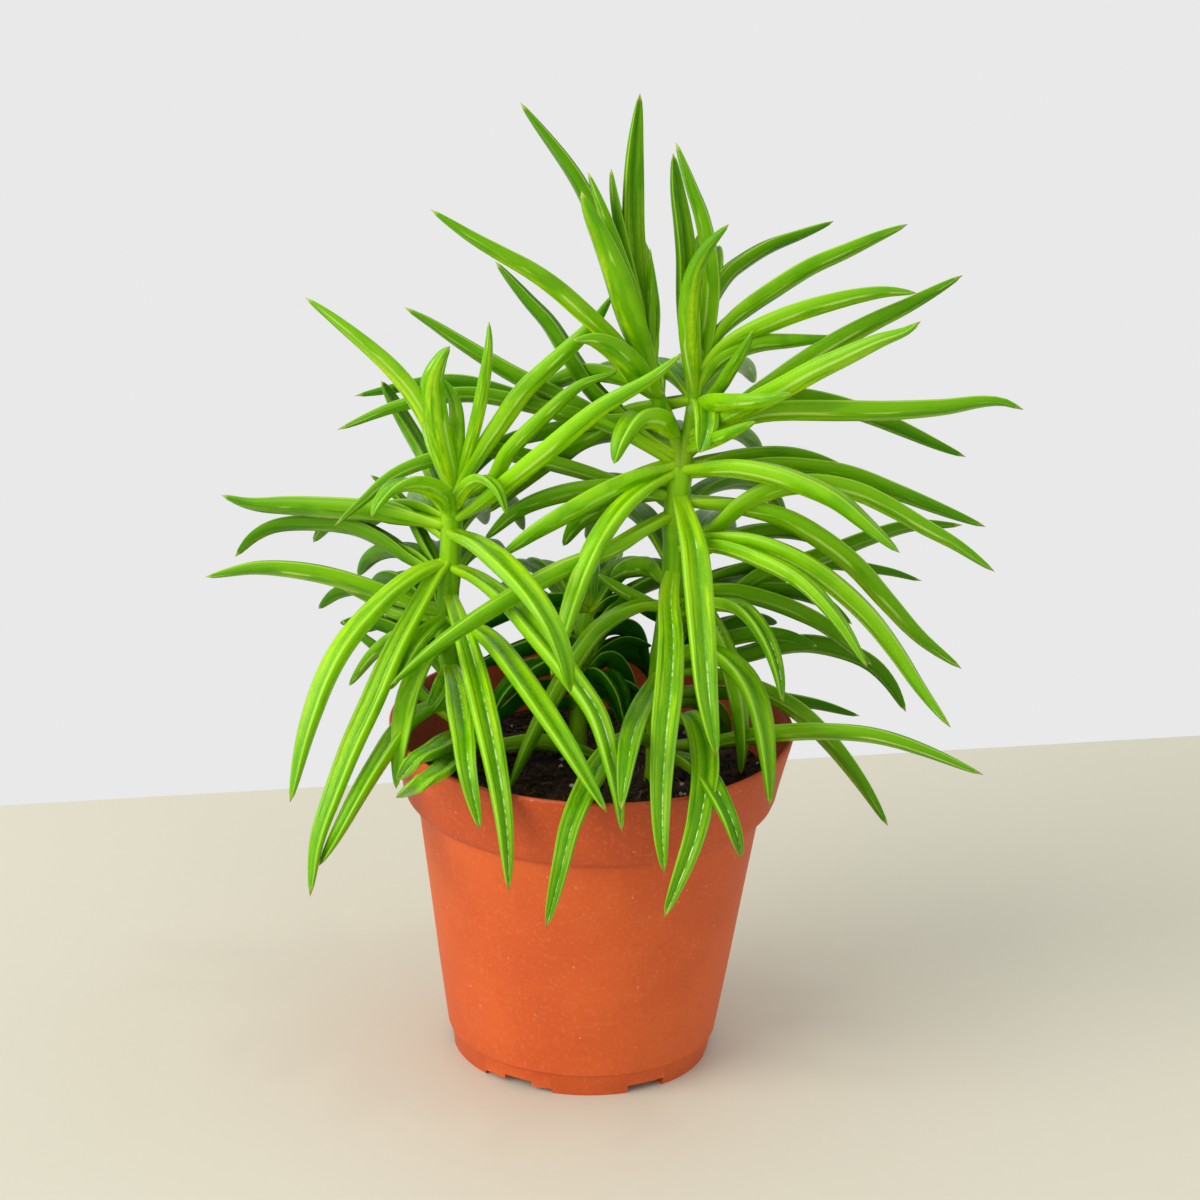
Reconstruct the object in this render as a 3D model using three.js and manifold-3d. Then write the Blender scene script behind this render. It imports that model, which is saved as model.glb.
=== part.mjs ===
// A potted peperomia: a tapered nursery pot, its soil and three leafy stems.
// Millimetres, +Z up. The origin is the middle of the pot's underside, and the front of the plant faces -Y.
import * as THREE from 'three';
import { mergeVertices } from 'three/addons/utils/BufferGeometryUtils.js';
import Module from 'manifold-3d';

const wasm = await Module();
wasm.setup();

// ---- Pot ----
const POT_HEIGHT = 90.7;
const RIM_RADIUS = 52.5;
const BAND_FOOT_RADIUS = 48.5;
const BAND_HEIGHT = 20.2;
const WALL_TOP_RADIUS = 44.7;
const WALL_FOOT_RADIUS = 35.3;
const FOOT_RADIUS = 33.7;
const FOOT_HEIGHT = 6.4;
const FOOT_STEP = 0.8;
const WALL = 1.6;
const LIP_HEIGHT = 1.1;
const LIP_EASE = 0.4;
const FLOOR_RISE = 3.2;
const FLOOR_DISH = 0.4;
const FOOT_RING_WIDTH = 2.6;
const PAD_RADIUS = 18;
const PAD_SLOPE = 1.5;
const POT_SIDES = 48;

// Notches in the foot ring, one of each kind every 120 degrees, at angles from the front to the right.
const NOTCHES = [
  { angle: -29, width: 20, height: 1.3 },
  { angle: -28, width: 8, height: 2.6 },
  { angle: 31, width: 10.8, height: 2.2 },
];
const NOTCH_TURNS = 3;
const NOTCH_REACH = 12;

// ---- Soil ----
const SOIL_TOP = 75.5;
const SOIL_SHOULDER = 0.7;
const SOIL_DIP = 1.6;
const SOIL_RISE = 0.8;
const GAP = 0.35;
const ROOT_FOOT = 59.5;
const ROOT_TOP = 71.5;
const HOLE_GAP = 0.45;
const HOLE_FOOT = ROOT_FOOT - GAP;
const HOLE_TOP = 83.5;
const HOLE_SIDES = 16;

// ---- Leaves ----
// A leaf's section, as shares of its width across and upwards: edge, trough, edge and keel.
const SECTION = [[-0.5, 0.2], [0, 0], [0.5, 0.2], [0, -0.32]];
const RING_SPACING = 10;
const FEWEST_RINGS = 4;
const MOST_RINGS = 8;
const BASE_WIDTH = 0.5;
const WIDEST_AT = 0.42;
const FULLNESS = 1.08;
const REACH_POWER = 1.6;
const STEM_SIDES = 10;
const ROOTED_STEPS = 12;
const SHOOT_STEPS = 6;
const WELD = 1e-3;
const SHORTEST_EDGE = 0.02;

// The front view that the stem and leaf paths are plotted in: a square picture, 1200 pixels wide,
// of the plant as seen from a little above, with the distance in millimetres and the angles in degrees.
const VIEW = { lookAt: [1.03, 0, 124.8], distance: 1200, pitch: 21.3, tilt: 2.01, focal: 4685, centre: 600 };

// Each stem: its depth behind the pot's axis, its radius, and its path in view pixels from the soil up.
const STEMS = {
  tall: { depth: 0, radius: 3.4, path: [659, 752, 661, 680, 674, 579, 677, 500, 683, 452] },
  tall_right: { depth: 0, radius: 2.1, path: [682, 464, 690, 430, 695, 400, 700, 345] },
  tall_left: { depth: 0, radius: 1.9, path: [682, 462, 676, 438, 666, 415, 656, 391, 650, 356] },
  left: { depth: 5, radius: 2.9, path: [462, 745, 455, 690, 448, 650, 447, 620, 451, 540, 453, 484] },
  middle: { depth: 20, radius: 2.4, path: [578, 728, 580, 690, 584, 640, 586, 606] },
};

// Each leaf: width, depth of the tip and bow of the depth half way, in millimetres (minus is to the front),
// then the midrib from the stem to the tip in view pixels.
const LEAVES = {
  tall: [
    // top whorl, to the left
    [6.6, 20, 0, 678, 452, 650, 436, 620, 412, 594, 388, 572, 356, 551, 323, 528, 298, 495, 261],
    [6.6, 16, 0, 680, 456, 630, 432, 580, 404, 526, 378, 495, 361, 462, 341, 430, 321, 404, 307],
    [5.8, 32, 0, 681, 458, 625, 432, 570, 415, 520, 396, 450, 380, 354, 396],
    [5.8, 15, 0, 680, 466, 610, 424, 540, 405, 470, 393, 402, 404, 337, 430],
    [6.0, 4, 8, 677, 500, 600, 475, 540, 458, 480, 447, 440, 455, 395, 473, 363, 500, 334, 526],
    [7.2, -10, 0, 677, 462, 640, 474, 604, 490, 568, 510, 532, 532, 499, 557],
    [6.6, 6, 0, 678, 478, 620, 484, 565, 491, 520, 508, 484, 540],
    [6.2, -27, 0, 677, 470, 648, 485, 624, 505, 604, 531, 588, 561, 575, 594, 563, 634, 551, 678],
    [7.0, 6, 0, 677, 494, 640, 492, 606, 503, 580, 520, 563, 546],
    [6.6, -30, 0, 676, 512, 645, 528, 608, 549, 562, 567, 518, 591, 468, 622, 430, 650, 389, 686],
    // top whorl, to the right
    [7.6, -24, 0, 681, 468, 733, 466, 770, 471, 806, 483, 838, 499, 868, 524, 900, 553],
    [6.4, 12, 0, 682, 466, 738, 455, 780, 452, 815, 458, 855, 473],
    [6.4, 4, 0, 680, 474, 760, 464, 810, 466, 850, 473, 893, 489, 935, 506, 986, 527],
    [6.8, -8, 0, 675, 540, 712, 528, 742, 503, 778, 486, 818, 482, 858, 490, 893, 507, 925, 526, 958, 545, 995, 572],
    [7.2, -4, 0, 677, 500, 735, 504, 782, 515, 820, 536, 855, 564, 887, 600, 920, 636, 962, 669],
    [7.4, -26, 0, 675, 536, 733, 537, 770, 545, 808, 563, 842, 588, 872, 617, 898, 651, 922, 688, 951, 728],
    [6.0, -34, 0, 675, 548, 722, 545, 768, 561, 802, 580, 828, 606, 848, 633, 868, 668],
    [6.6, -48, 0, 677, 490, 686, 518, 694, 550, 698, 590, 702, 640, 706, 690, 711, 725, 717, 757],
    // middle whorl
    [6.2, -60, 0, 674, 566, 669, 600, 671, 640, 669, 685, 664, 735, 661, 785, 661, 830, 664, 874],
    [6.6, 16, 0, 671, 604, 725, 595, 760, 573, 797, 561, 833, 549, 870, 535, 912, 524, 963, 525],
    [5.0, 22, 0, 673, 592, 730, 570, 800, 560, 880, 569, 922, 581],
    [6.6, 6, 0, 673, 588, 724, 588, 763, 596, 798, 609, 830, 627, 872, 665],
    [5.4, -30, 0, 670, 618, 702, 604, 733, 604, 753, 619, 769, 645, 778, 672, 783, 703],
    [6.4, -16, 0, 671, 608, 644, 604, 617, 614, 595, 630, 577, 654, 558, 685, 540, 719, 524, 753, 508, 791],
    [7.4, 10, 0, 673, 586, 655, 566, 634, 566, 611, 578],
    [5.0, 4, 0, 671, 612, 625, 590, 598, 574],
    // low whorls
    [6.8, 20, 0, 665, 664, 735, 654, 770, 645, 805, 641, 840, 648, 868, 661, 889, 682, 906, 712],
    [6.4, -38, 0, 664, 664, 692, 650, 718, 654, 739, 670, 754, 694, 763, 726, 768, 766, 770, 806],
    [6.8, -14, 0, 672, 598, 698, 604, 716, 630, 731, 665, 740, 705, 743, 745, 741, 776],
    [6.4, 10, 0, 663, 668, 712, 672, 756, 686, 796, 708, 830, 741, 862, 783, 888, 826],
    [5.6, 22, 0, 661, 692, 720, 690, 775, 696, 818, 703, 860, 716],
    [5.6, -70, 0, 662, 672, 655, 685, 635, 725, 627, 760, 621, 810],
    [6.4, -26, 0, 660, 747, 718, 740, 776, 731, 828, 729, 877, 734, 925, 749, 984, 775],
    [6.2, -68, -6, 660, 732, 678, 716, 693, 720, 702, 740, 705, 772, 701, 806, 692, 844, 664, 918],
    [5.8, -54, -13, 659, 752, 686, 760, 704, 774, 720, 800, 733, 828, 742, 858],
    [5.8, -70, -13, 659, 748, 634, 736, 606, 757, 584, 794, 570, 828, 561, 866, 546, 928],
    [5.8, 18, 0, 661, 708, 690, 698, 716, 712, 728, 748],
  ],
  tall_right: [
    [5.6, 14, 0, 694, 405, 690, 350, 687, 300, 686, 258, 682, 222, 677, 190, 673, 153],
    [6.4, 4, 0, 697, 408, 704, 365, 711, 320, 714, 284, 711, 250, 704, 217, 693, 187, 676, 142],
    [5.0, -8, 0, 697, 400, 691, 345, 690, 305, 695, 273, 708, 247, 729, 224],
    [5.6, 18, 0, 700, 350, 707, 308, 724, 276, 744, 259, 770, 244, 803, 232, 834, 221],
    [6.2, 8, 0, 700, 362, 718, 331, 745, 307, 777, 285, 810, 265, 845, 250, 877, 236, 908, 224],
    [6.2, -4, 0, 699, 370, 722, 346, 751, 330, 786, 315, 820, 304, 857, 295, 888, 291, 917, 293],
    [6.8, 2, 0, 692, 426, 732, 406, 767, 385, 802, 361, 838, 339, 874, 320, 910, 303, 963, 275],
    [6.8, -26, 0, 691, 434, 735, 412, 782, 388, 813, 371, 847, 355, 880, 340, 906, 331, 921, 321],
    [6.2, -22, 0, 694, 414, 712, 402, 742, 401, 770, 399, 792, 393],
    [7.4, -10, 0, 690, 440, 722, 424, 757, 412, 790, 408, 840, 408, 890, 408, 943, 405, 980, 400, 1004, 401, 1024, 410],
    [6.4, 14, 0, 692, 424, 740, 400, 787, 394, 830, 401, 870, 414, 905, 429, 937, 444, 966, 457],
    [4.6, -18, 0, 688, 450, 722, 436, 756, 421],
    [3.6, -8, 0, 696, 402, 716, 392, 731, 370, 745, 348, 753, 330],
    [6.2, 0, 0, 697, 388, 714, 364, 735, 349, 760, 341, 790, 339, 812, 338, 831, 336],
    [3.0, -14, 0, 695, 408, 722, 406, 738, 412],
    [6.6, 6, 8, 695, 398, 640, 408, 600, 428, 560, 452, 520, 484, 486, 514],
    [6.0, -14, 0, 694, 418, 704, 405, 706, 425, 700, 453],
  ],
  tall_left: [
    [6.2, 14, 0, 651, 370, 640, 330, 622, 280, 604, 230, 587, 193, 572, 168, 554, 144, 520, 102],
    [5.0, 2, 0, 650, 368, 638, 310, 622, 262, 608, 222, 597, 194, 588, 172],
    [7.2, -8, 0, 656, 388, 644, 356, 630, 318, 616, 275, 603, 242, 590, 214, 581, 191],
    [5.2, 6, 0, 651, 374, 646, 330, 634, 280, 624, 238, 616, 200, 611, 168],
    [5.4, 12, 0, 651, 374, 645, 330, 637, 280, 633, 232, 633, 190, 635, 145, 640, 93],
    [2.6, 0, 0, 651, 362, 651, 300, 650, 248],
    [6.0, -14, 0, 654, 384, 632, 358, 608, 334, 583, 311, 556, 287, 529, 268, 500, 252, 470, 235, 430, 209],
    [7.4, -16, 0, 657, 394, 640, 380, 624, 358, 608, 345, 590, 338, 573, 340],
    [5.6, 16, 0, 664, 412, 575, 425, 500, 445, 453, 495],
    [7.4, -16, 0, 674, 434, 655, 418, 636, 418, 621, 440, 614, 464],
  ],
  left: [
    // top whorl
    [5.6, -6, 0, 453, 492, 436, 440, 420, 405, 400, 377, 376, 353, 337, 321, 305, 297],
    [3.4, -2, 0, 454, 490, 466, 460, 477, 420, 485, 378, 489, 345, 489, 321],
    [6.4, -4, 0, 453, 490, 436, 430, 432, 385, 440, 360, 450, 346],
    [4.6, 4, 0, 453, 488, 456, 410, 441, 376],
    [6.4, -14, 0, 452, 520, 469, 510, 500, 488, 540, 456, 600, 407, 650, 378, 684, 352],
    [6.2, 2, 0, 453, 494, 476, 458, 499, 425, 524, 390, 549, 366, 574, 343, 596, 320, 613, 294],
    [5.0, -2, 0, 453, 500, 490, 482, 510, 450, 545, 415, 580, 385, 618, 372],
    [4.2, -10, 0, 452, 515, 466, 488, 482, 478, 498, 490, 507, 515],
    [6.0, -24, 0, 452, 516, 435, 490, 412, 482, 392, 488, 378, 503, 371, 517],
    [5.4, 24, 8, 451, 518, 430, 465, 413, 435, 397, 408, 381, 381],
    [4.0, 26, 0, 450, 578, 432, 555, 405, 505, 385, 485, 370, 475],
    // middle whorls, to the left
    [7.8, 28, 0, 449, 524, 420, 517, 393, 512, 373, 508, 300, 504, 255, 503, 221, 495],
    [6.2, 34, 0, 449, 576, 412, 557, 384, 538, 355, 525, 317, 521, 280, 524, 255, 536, 235, 557],
    [6.8, 10, 0, 448, 612, 415, 602, 366, 584, 312, 570, 256, 566, 205, 577],
    [6.6, -30, 0, 450, 562, 425, 569, 400, 585, 372, 611, 345, 643, 326, 677, 311, 717, 301, 752, 290, 803],
    [6.4, -36, 0, 450, 556, 436, 574, 416, 610, 394, 652, 373, 700, 352, 746, 334, 792, 317, 842, 310, 897],
    [5.0, -16, 0, 447, 616, 428, 630, 411, 650, 390, 690],
    [4.4, 16, 0, 448, 618, 400, 613, 372, 598, 335, 583],
    [4.4, 22, 0, 447, 606, 400, 616, 363, 632],
    [4.4, 12, 0, 447, 634, 405, 632, 375, 652, 349, 686],
    // middle whorls, to the front and right
    [6.8, -48, -14, 451, 532, 478, 544, 506, 567, 532, 596, 552, 627, 565, 660, 571, 692],
    [6.4, -58, 0, 450, 566, 478, 578, 508, 602, 540, 638, 570, 676, 596, 714, 610, 758, 618, 798, 622, 833],
    [6.2, -62, 0, 447, 617, 470, 626, 500, 650, 560, 735, 607, 813],
    [6.0, -58, -4, 449, 592, 464, 636, 479, 692, 493, 756, 504, 822, 509, 891],
    // low whorls
    [5.8, -54, -8, 450, 664, 457, 692, 463, 735, 467, 772, 480, 830],
    [4.6, -8, 0, 451, 664, 444, 684, 436, 700, 426, 716],
    [5.2, -26, 0, 448, 642, 426, 658, 409, 694, 400, 742, 396, 789],
    [5.8, -34, -6, 456, 704, 430, 707, 402, 727, 378, 762, 357, 797, 338, 832, 319, 866],
    [5.6, -48, -25, 460, 746, 444, 768, 422, 782, 396, 798],
    [6.0, -40, -15, 459, 732, 438, 748, 416, 759, 397, 781],
    [4.6, 18, 0, 458, 724, 430, 700, 395, 662, 366, 638, 341, 620],
    [6.6, 6, 0, 461, 742, 500, 744, 545, 740, 608, 758],
  ],
  middle: [
    [6.6, 10, 0, 585, 640, 545, 640, 500, 655, 472, 668],
    [4.4, 30, 0, 585, 660, 620, 640, 652, 646],
    [4.4, 12, 0, 582, 690, 620, 682, 648, 696],
    [6.4, -8, 0, 584, 660, 540, 665, 505, 690, 488, 722],
    [6.0, 12, 0, 583, 690, 540, 685, 506, 708, 486, 728],
    [6.0, 14, 0, 586, 610, 560, 598, 525, 604, 496, 618, 474, 634],
    [5.6, 30, 0, 586, 612, 610, 600, 636, 602, 660, 622],
    [6.4, 36, 0, 584, 650, 606, 626, 630, 630, 646, 668],
    [6.4, 4, 0, 584, 672, 550, 664, 516, 678, 490, 706],
    [6.0, 36, 0, 582, 680, 556, 664, 528, 668, 504, 688],
    [6.2, 4, 0, 583, 682, 604, 674, 620, 694, 626, 726],
    [6.0, 40, 0, 583, 676, 612, 652, 640, 658, 660, 688],
    [5.8, 20, 0, 581, 708, 560, 700, 546, 712, 540, 734],
    [6.0, 24, 0, 583, 672, 606, 656, 622, 672, 632, 706],
    [5.6, 20, 0, 582, 700, 604, 690, 618, 704, 626, 732],
  ],
};

// Whorls of rear leaves, hidden from the front: height on the stem, middle heading and spread of the whorl
// (degrees from +X, so 90 is straight back), leaf length, and the slopes that a leaf leaves and ends with.
const REAR_WHORLS = {
  tall: [
    { height: 101, heading: 40, spread: 60, length: 48, rise: 62, droop: -30 },
    { height: 117, heading: 48, spread: 60, length: 58, rise: 44, droop: -50 },
    { height: 134, heading: 70, spread: 86, length: 64, rise: 36, droop: -60 },
    { height: 150, heading: 90, spread: 76, length: 58, rise: 24, droop: -62 },
    { height: 164, heading: 98, spread: 76, length: 50, rise: 22, droop: -58 },
  ],
  tall_right: [
    { height: 180, heading: 92, spread: 52, length: 42, rise: 28, droop: -50 },
    { height: 192, heading: 86, spread: 24, length: 34, rise: 66, droop: 24 },
  ],
  tall_left: [
    { height: 180, heading: 116, spread: 44, length: 40, rise: 26, droop: -54 },
    { height: 190, heading: 116, spread: 28, length: 34, rise: 66, droop: 30 },
  ],
  left: [
    { height: 98, heading: 128, spread: 44, length: 42, rise: 58, droop: -30 },
    { height: 112, heading: 122, spread: 50, length: 52, rise: 46, droop: -54 },
    { height: 127, heading: 100, spread: 60, length: 48, rise: 28, droop: -60 },
    { height: 138, heading: 104, spread: 70, length: 54, rise: 26, droop: -58 },
    { height: 144, heading: 106, spread: 52, length: 42, rise: 6, droop: -50 },
  ],
  middle: [
    { height: 97, heading: 90, spread: 70, length: 38, rise: 62, droop: -20 },
    { height: 106, heading: 80, spread: 90, length: 44, rise: 56, droop: -34 },
    { height: 112, heading: 95, spread: 70, length: 32, rise: 50, droop: -24 },
  ],
};
const REAR_LEAVES = 3;
const REAR_STEPS = 5;
const REAR_TURN = 10;
const REAR_STRETCH = [0.88, 1.08];
const REAR_WIDTH = [5.4, 6.8];
const SEED = 11;

const FINISHES = {
  pot: { color: '#c9623a', roughness: 0.55, metalness: 0 },
  soil: { color: '#2a1c14', roughness: 0.95, metalness: 0 },
  leaf: { color: '#6fae1c', roughness: 0.35, metalness: 0 },
};

// A small seeded generator of numbers from 0 to 1.
function randomFrom(seed) {
  const multiplier = 16807;
  const modulus = 2147483647;
  let state = seed;
  return () => {
    state = (state * multiplier) % modulus;
    return state / modulus;
  };
}

const random = randomFrom(SEED);
const between = ([low, high]) => low + (high - low) * random();

// The point at view pixel (u, v) on the upright plane at the given depth.
function spot(u, v, depth) {
  const pitch = THREE.MathUtils.degToRad(VIEW.pitch);
  const tilt = THREE.MathUtils.degToRad(VIEW.tilt);
  const ahead = new THREE.Vector3(0, Math.cos(pitch), -Math.sin(pitch));
  const up = new THREE.Vector3(0, Math.sin(pitch), Math.cos(pitch));
  const right = new THREE.Vector3(1, 0, 0);
  const across = right.clone().multiplyScalar(Math.cos(tilt)).addScaledVector(up, Math.sin(tilt));
  const upward = up.clone().multiplyScalar(Math.cos(tilt)).addScaledVector(right, -Math.sin(tilt));
  const eye = new THREE.Vector3(...VIEW.lookAt).addScaledVector(ahead, -VIEW.distance);
  const ray = ahead.clone().multiplyScalar(VIEW.focal);
  ray.addScaledVector(across, u - VIEW.centre).addScaledVector(upward, VIEW.centre - v);
  return eye.addScaledVector(ray, (depth - eye.y) / ray.y);
}

// A leaf's midrib: its depth eases from the stem's to the tip's along the plotted path.
function plottedMidrib(stem, [, tipDepth, bow, ...path]) {
  const pixels = [];
  for (let i = 0; i < path.length; i += 2) pixels.push(new THREE.Vector2(path[i], path[i + 1]));
  const lengths = [0];
  for (let i = 1; i < pixels.length; i++) lengths.push(lengths[i - 1] + pixels[i].distanceTo(pixels[i - 1]));
  const whole = lengths[lengths.length - 1];
  return pixels.map((pixel, i) => {
    const share = lengths[i] / whole;
    const reach = 1 - (1 - share) ** REACH_POWER;
    const depth = stem.depth + (tipDepth - stem.depth) * reach + bow * 4 * share * (1 - share);
    return spot(pixel.x, pixel.y, depth);
  });
}

// A rear leaf's midrib: it rises from the stem and bends down evenly to its tip.
function rearMidrib(start, heading, length, rise, droop) {
  const points = [start.clone()];
  for (let i = 0; i < REAR_STEPS; i++) {
    const slope = THREE.MathUtils.degToRad(rise + (droop - rise) * ((i + 0.5) / REAR_STEPS));
    const step = new THREE.Vector3(
      Math.cos(heading) * Math.cos(slope),
      Math.sin(heading) * Math.cos(slope),
      Math.sin(slope),
    );
    points.push(points[i].clone().addScaledVector(step, length / REAR_STEPS));
  }
  return points;
}

// Width along the blade: a firm stalk, widest before the middle, and a drawn-out point.
function bladeWidth(t) {
  if (t < WIDEST_AT) {
    const rise = Math.sin((t / WIDEST_AT) * (Math.PI / 2));
    return BASE_WIDTH + (1 - BASE_WIDTH) * rise;
  }
  return Math.sqrt(1 - ((t - WIDEST_AT) / (1 - WIDEST_AT)) ** 2);
}

// A leaf blade: a ball's grid laid along the midrib, a section at each ring, closed to a point at both ends.
function bladeGeometry(points, width) {
  const curve = new THREE.CatmullRomCurve3(points, false, 'catmullrom', 0.5);
  const reach = points[points.length - 1].clone().sub(points[0]);
  const side = new THREE.Vector3(-reach.y, reach.x, 0).normalize();
  const rings = THREE.MathUtils.clamp(Math.round(curve.getLength() / RING_SPACING), FEWEST_RINGS, MOST_RINGS);
  const corners = SECTION.length;
  const geometry = new THREE.SphereGeometry(1, corners, rings);
  const position = geometry.attributes.position;
  for (let ring = 0; ring <= rings; ring++) {
    const t = ring / rings;
    const centre = curve.getPointAt(t);
    const along = curve.getTangentAt(t);
    const across = side.clone().addScaledVector(along, -side.dot(along)).normalize();
    const above = along.clone().cross(across);
    const size = ring === 0 || ring === rings ? 0 : FULLNESS * width * bladeWidth(t);
    for (let corner = 0; corner <= corners; corner++) {
      const [sideways, lift] = SECTION[corner % corners];
      const vertex = centre.clone().addScaledVector(across, sideways * size);
      vertex.addScaledVector(above, lift * size);
      position.setXYZ(ring * (corners + 1) + corner, vertex.x, vertex.y, vertex.z);
    }
  }
  return geometry;
}

// The points of a stem's axis, from the soil up.
function stemPoints(stem) {
  const points = [];
  for (let i = 0; i < stem.path.length; i += 2) points.push(spot(stem.path[i], stem.path[i + 1], stem.depth));
  return points;
}

function roundSection(radius) {
  const shape = new THREE.Shape();
  shape.absarc(0, 0, radius, 0, Math.PI * 2);
  return new THREE.Shape(shape.getSpacedPoints(STEM_SIDES).slice(0, STEM_SIDES));
}

function tubeGeometry(points, radius, steps) {
  const extrudePath = new THREE.CatmullRomCurve3(points, false, 'catmullrom', 0.5);
  return new THREE.ExtrudeGeometry(roundSection(radius), { steps, extrudePath, bevelEnabled: false });
}

// Closed three.js geometry to a solid, and back.
function solid(geometry) {
  const bare = geometry.clone();
  bare.deleteAttribute('normal');
  bare.deleteAttribute('uv');
  const merged = mergeVertices(bare, WELD);
  return new wasm.Manifold(new wasm.Mesh({
    numProp: 3,
    vertProperties: new Float32Array(merged.attributes.position.array),
    triVerts: new Uint32Array(merged.index.array),
  }));
}

function geometryOf(body) {
  const mesh = body.getMesh();
  const geometry = new THREE.BufferGeometry();
  geometry.setAttribute('position', new THREE.BufferAttribute(new Float32Array(mesh.vertProperties), 3));
  geometry.setIndex(new THREE.BufferAttribute(new Uint32Array(mesh.triVerts), 1));
  geometry.computeVertexNormals();
  return geometry;
}

// The main body of a solid once its shortest edges are gone, without loose scraps or sealed voids.
function mainBody(body) {
  const pieces = solid(geometryOf(body.simplify(SHORTEST_EDGE)).toNonIndexed()).decompose();
  return pieces.reduce((best, piece) => (piece.volume() > best.volume() ? piece : best));
}

function named(name, body, finish) {
  const mesh = new THREE.Mesh(geometryOf(body), new THREE.MeshStandardMaterial(finish));
  mesh.name = name;
  return mesh;
}

// The radius of the inside of the pot's band at height z.
function bandInside(z) {
  const share = (z - (POT_HEIGHT - BAND_HEIGHT + WALL)) / (BAND_HEIGHT - WALL);
  return BAND_FOOT_RADIUS - WALL + (RIM_RADIUS - BAND_FOOT_RADIUS) * share;
}

function lathe(profile, sides) {
  const points = profile.map(([radius, height]) => new THREE.Vector2(radius, height));
  return new THREE.LatheGeometry(points, sides).rotateX(Math.PI / 2);
}

function potBody() {
  const bandFoot = POT_HEIGHT - BAND_HEIGHT;
  const floorTop = FLOOR_RISE + WALL;
  const outside = [
    [FOOT_RADIUS, 0],
    [FOOT_RADIUS, FOOT_HEIGHT - FOOT_STEP],
    [WALL_FOOT_RADIUS, FOOT_HEIGHT],
    [WALL_TOP_RADIUS, bandFoot],
    [BAND_FOOT_RADIUS, bandFoot],
    [RIM_RADIUS, POT_HEIGHT - LIP_HEIGHT],
    [RIM_RADIUS - LIP_EASE, POT_HEIGHT],
  ];
  const inside = [
    [RIM_RADIUS - WALL, POT_HEIGHT],
    [BAND_FOOT_RADIUS - WALL, bandFoot + WALL],
    [WALL_TOP_RADIUS - WALL, bandFoot],
    [FOOT_RADIUS - WALL, floorTop],
    [0, floorTop - FLOOR_DISH],
  ];
  const underside = [
    [0, 0],
    [PAD_RADIUS, 0],
    [PAD_RADIUS + PAD_SLOPE, FLOOR_RISE],
    [FOOT_RADIUS - FOOT_RING_WIDTH, FLOOR_RISE],
    [FOOT_RADIUS - FOOT_RING_WIDTH, 0],
    [FOOT_RADIUS, 0],
  ];
  let body = solid(lathe([...outside, ...inside, ...underside], POT_SIDES));
  for (let turn = 0; turn < NOTCH_TURNS; turn++) {
    for (const notch of NOTCHES) {
      const angle = THREE.MathUtils.degToRad(notch.angle + (360 / NOTCH_TURNS) * turn);
      const box = new THREE.BoxGeometry(notch.width, NOTCH_REACH, notch.height * 2);
      box.translate(0, -FOOT_RADIUS, 0).rotateZ(angle);
      body = body.subtract(solid(box));
    }
  }
  return body;
}

// The soil: a fill with an even gap to the pot, and a plain hole for each stem.
function soilBody(stems) {
  const bandFoot = POT_HEIGHT - BAND_HEIGHT;
  const floorTop = FLOOR_RISE + WALL;
  const ledgeTop = bandFoot + WALL + GAP;
  const profile = [
    [0, floorTop + GAP],
    [FOOT_RADIUS - WALL - 2 * GAP, floorTop + GAP],
    [WALL_TOP_RADIUS - WALL - 2 * GAP, bandFoot],
    [WALL_TOP_RADIUS - WALL - 2 * GAP, ledgeTop],
    [bandInside(ledgeTop) - GAP, ledgeTop],
    [bandInside(SOIL_TOP) - GAP, SOIL_TOP - SOIL_DIP],
    [bandInside(SOIL_TOP) * SOIL_SHOULDER, SOIL_TOP],
    [0, SOIL_TOP + SOIL_RISE],
  ];
  let body = solid(lathe(profile, POT_SIDES));
  for (const stem of stems) {
    const [foot] = stemPoints(stem);
    const radius = stem.radius + HOLE_GAP;
    const hole = new THREE.CylinderGeometry(radius, radius, HOLE_TOP - HOLE_FOOT, HOLE_SIDES);
    hole.rotateX(Math.PI / 2).translate(foot.x, foot.y, (HOLE_TOP + HOLE_FOOT) / 2);
    body = body.subtract(solid(hole));
  }
  return body;
}

// The point of a stem's axis at a height.
function axisAt(points, height) {
  const axis = new THREE.CatmullRomCurve3(points, false, 'catmullrom', 0.5);
  return axis.getSpacedPoints(100).reduce((best, point) => (
    Math.abs(point.z - height) < Math.abs(best.z - height) ? point : best
  ));
}

// The seeded leaves behind a stem, whorl by whorl.
function rearBlades(name, points) {
  const blades = [];
  for (const whorl of REAR_WHORLS[name]) {
    const start = axisAt(points, whorl.height);
    const turn = (random() - 0.5) * REAR_TURN;
    for (let i = 0; i < REAR_LEAVES; i++) {
      const angle = whorl.heading + turn + whorl.spread * (i / (REAR_LEAVES - 1) - 0.5);
      const length = whorl.length * between(REAR_STRETCH);
      const midrib = rearMidrib(start, THREE.MathUtils.degToRad(angle), length, whorl.rise, whorl.droop);
      blades.push(bladeGeometry(midrib, between(REAR_WIDTH)));
    }
  }
  return blades;
}

// A leafy stem: its shoots and every leaf on them, joined. The first shoot goes straight down into the soil.
function leafyStem(shoots) {
  const parts = [];
  for (const name of shoots) {
    const stem = STEMS[name];
    const points = stemPoints(stem);
    const rooted = name === shoots[0];
    const root = rooted ? [points[0].clone().setZ(ROOT_FOOT), points[0].clone().setZ(ROOT_TOP)] : [];
    parts.push(tubeGeometry([...root, ...points], stem.radius, rooted ? ROOTED_STEPS : SHOOT_STEPS));
    for (const leaf of LEAVES[name]) parts.push(bladeGeometry(plottedMidrib(stem, leaf), leaf[0]));
    parts.push(...rearBlades(name, points));
  }
  return mainBody(parts.map(solid).reduce((body, part) => body.add(part)));
}

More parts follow.
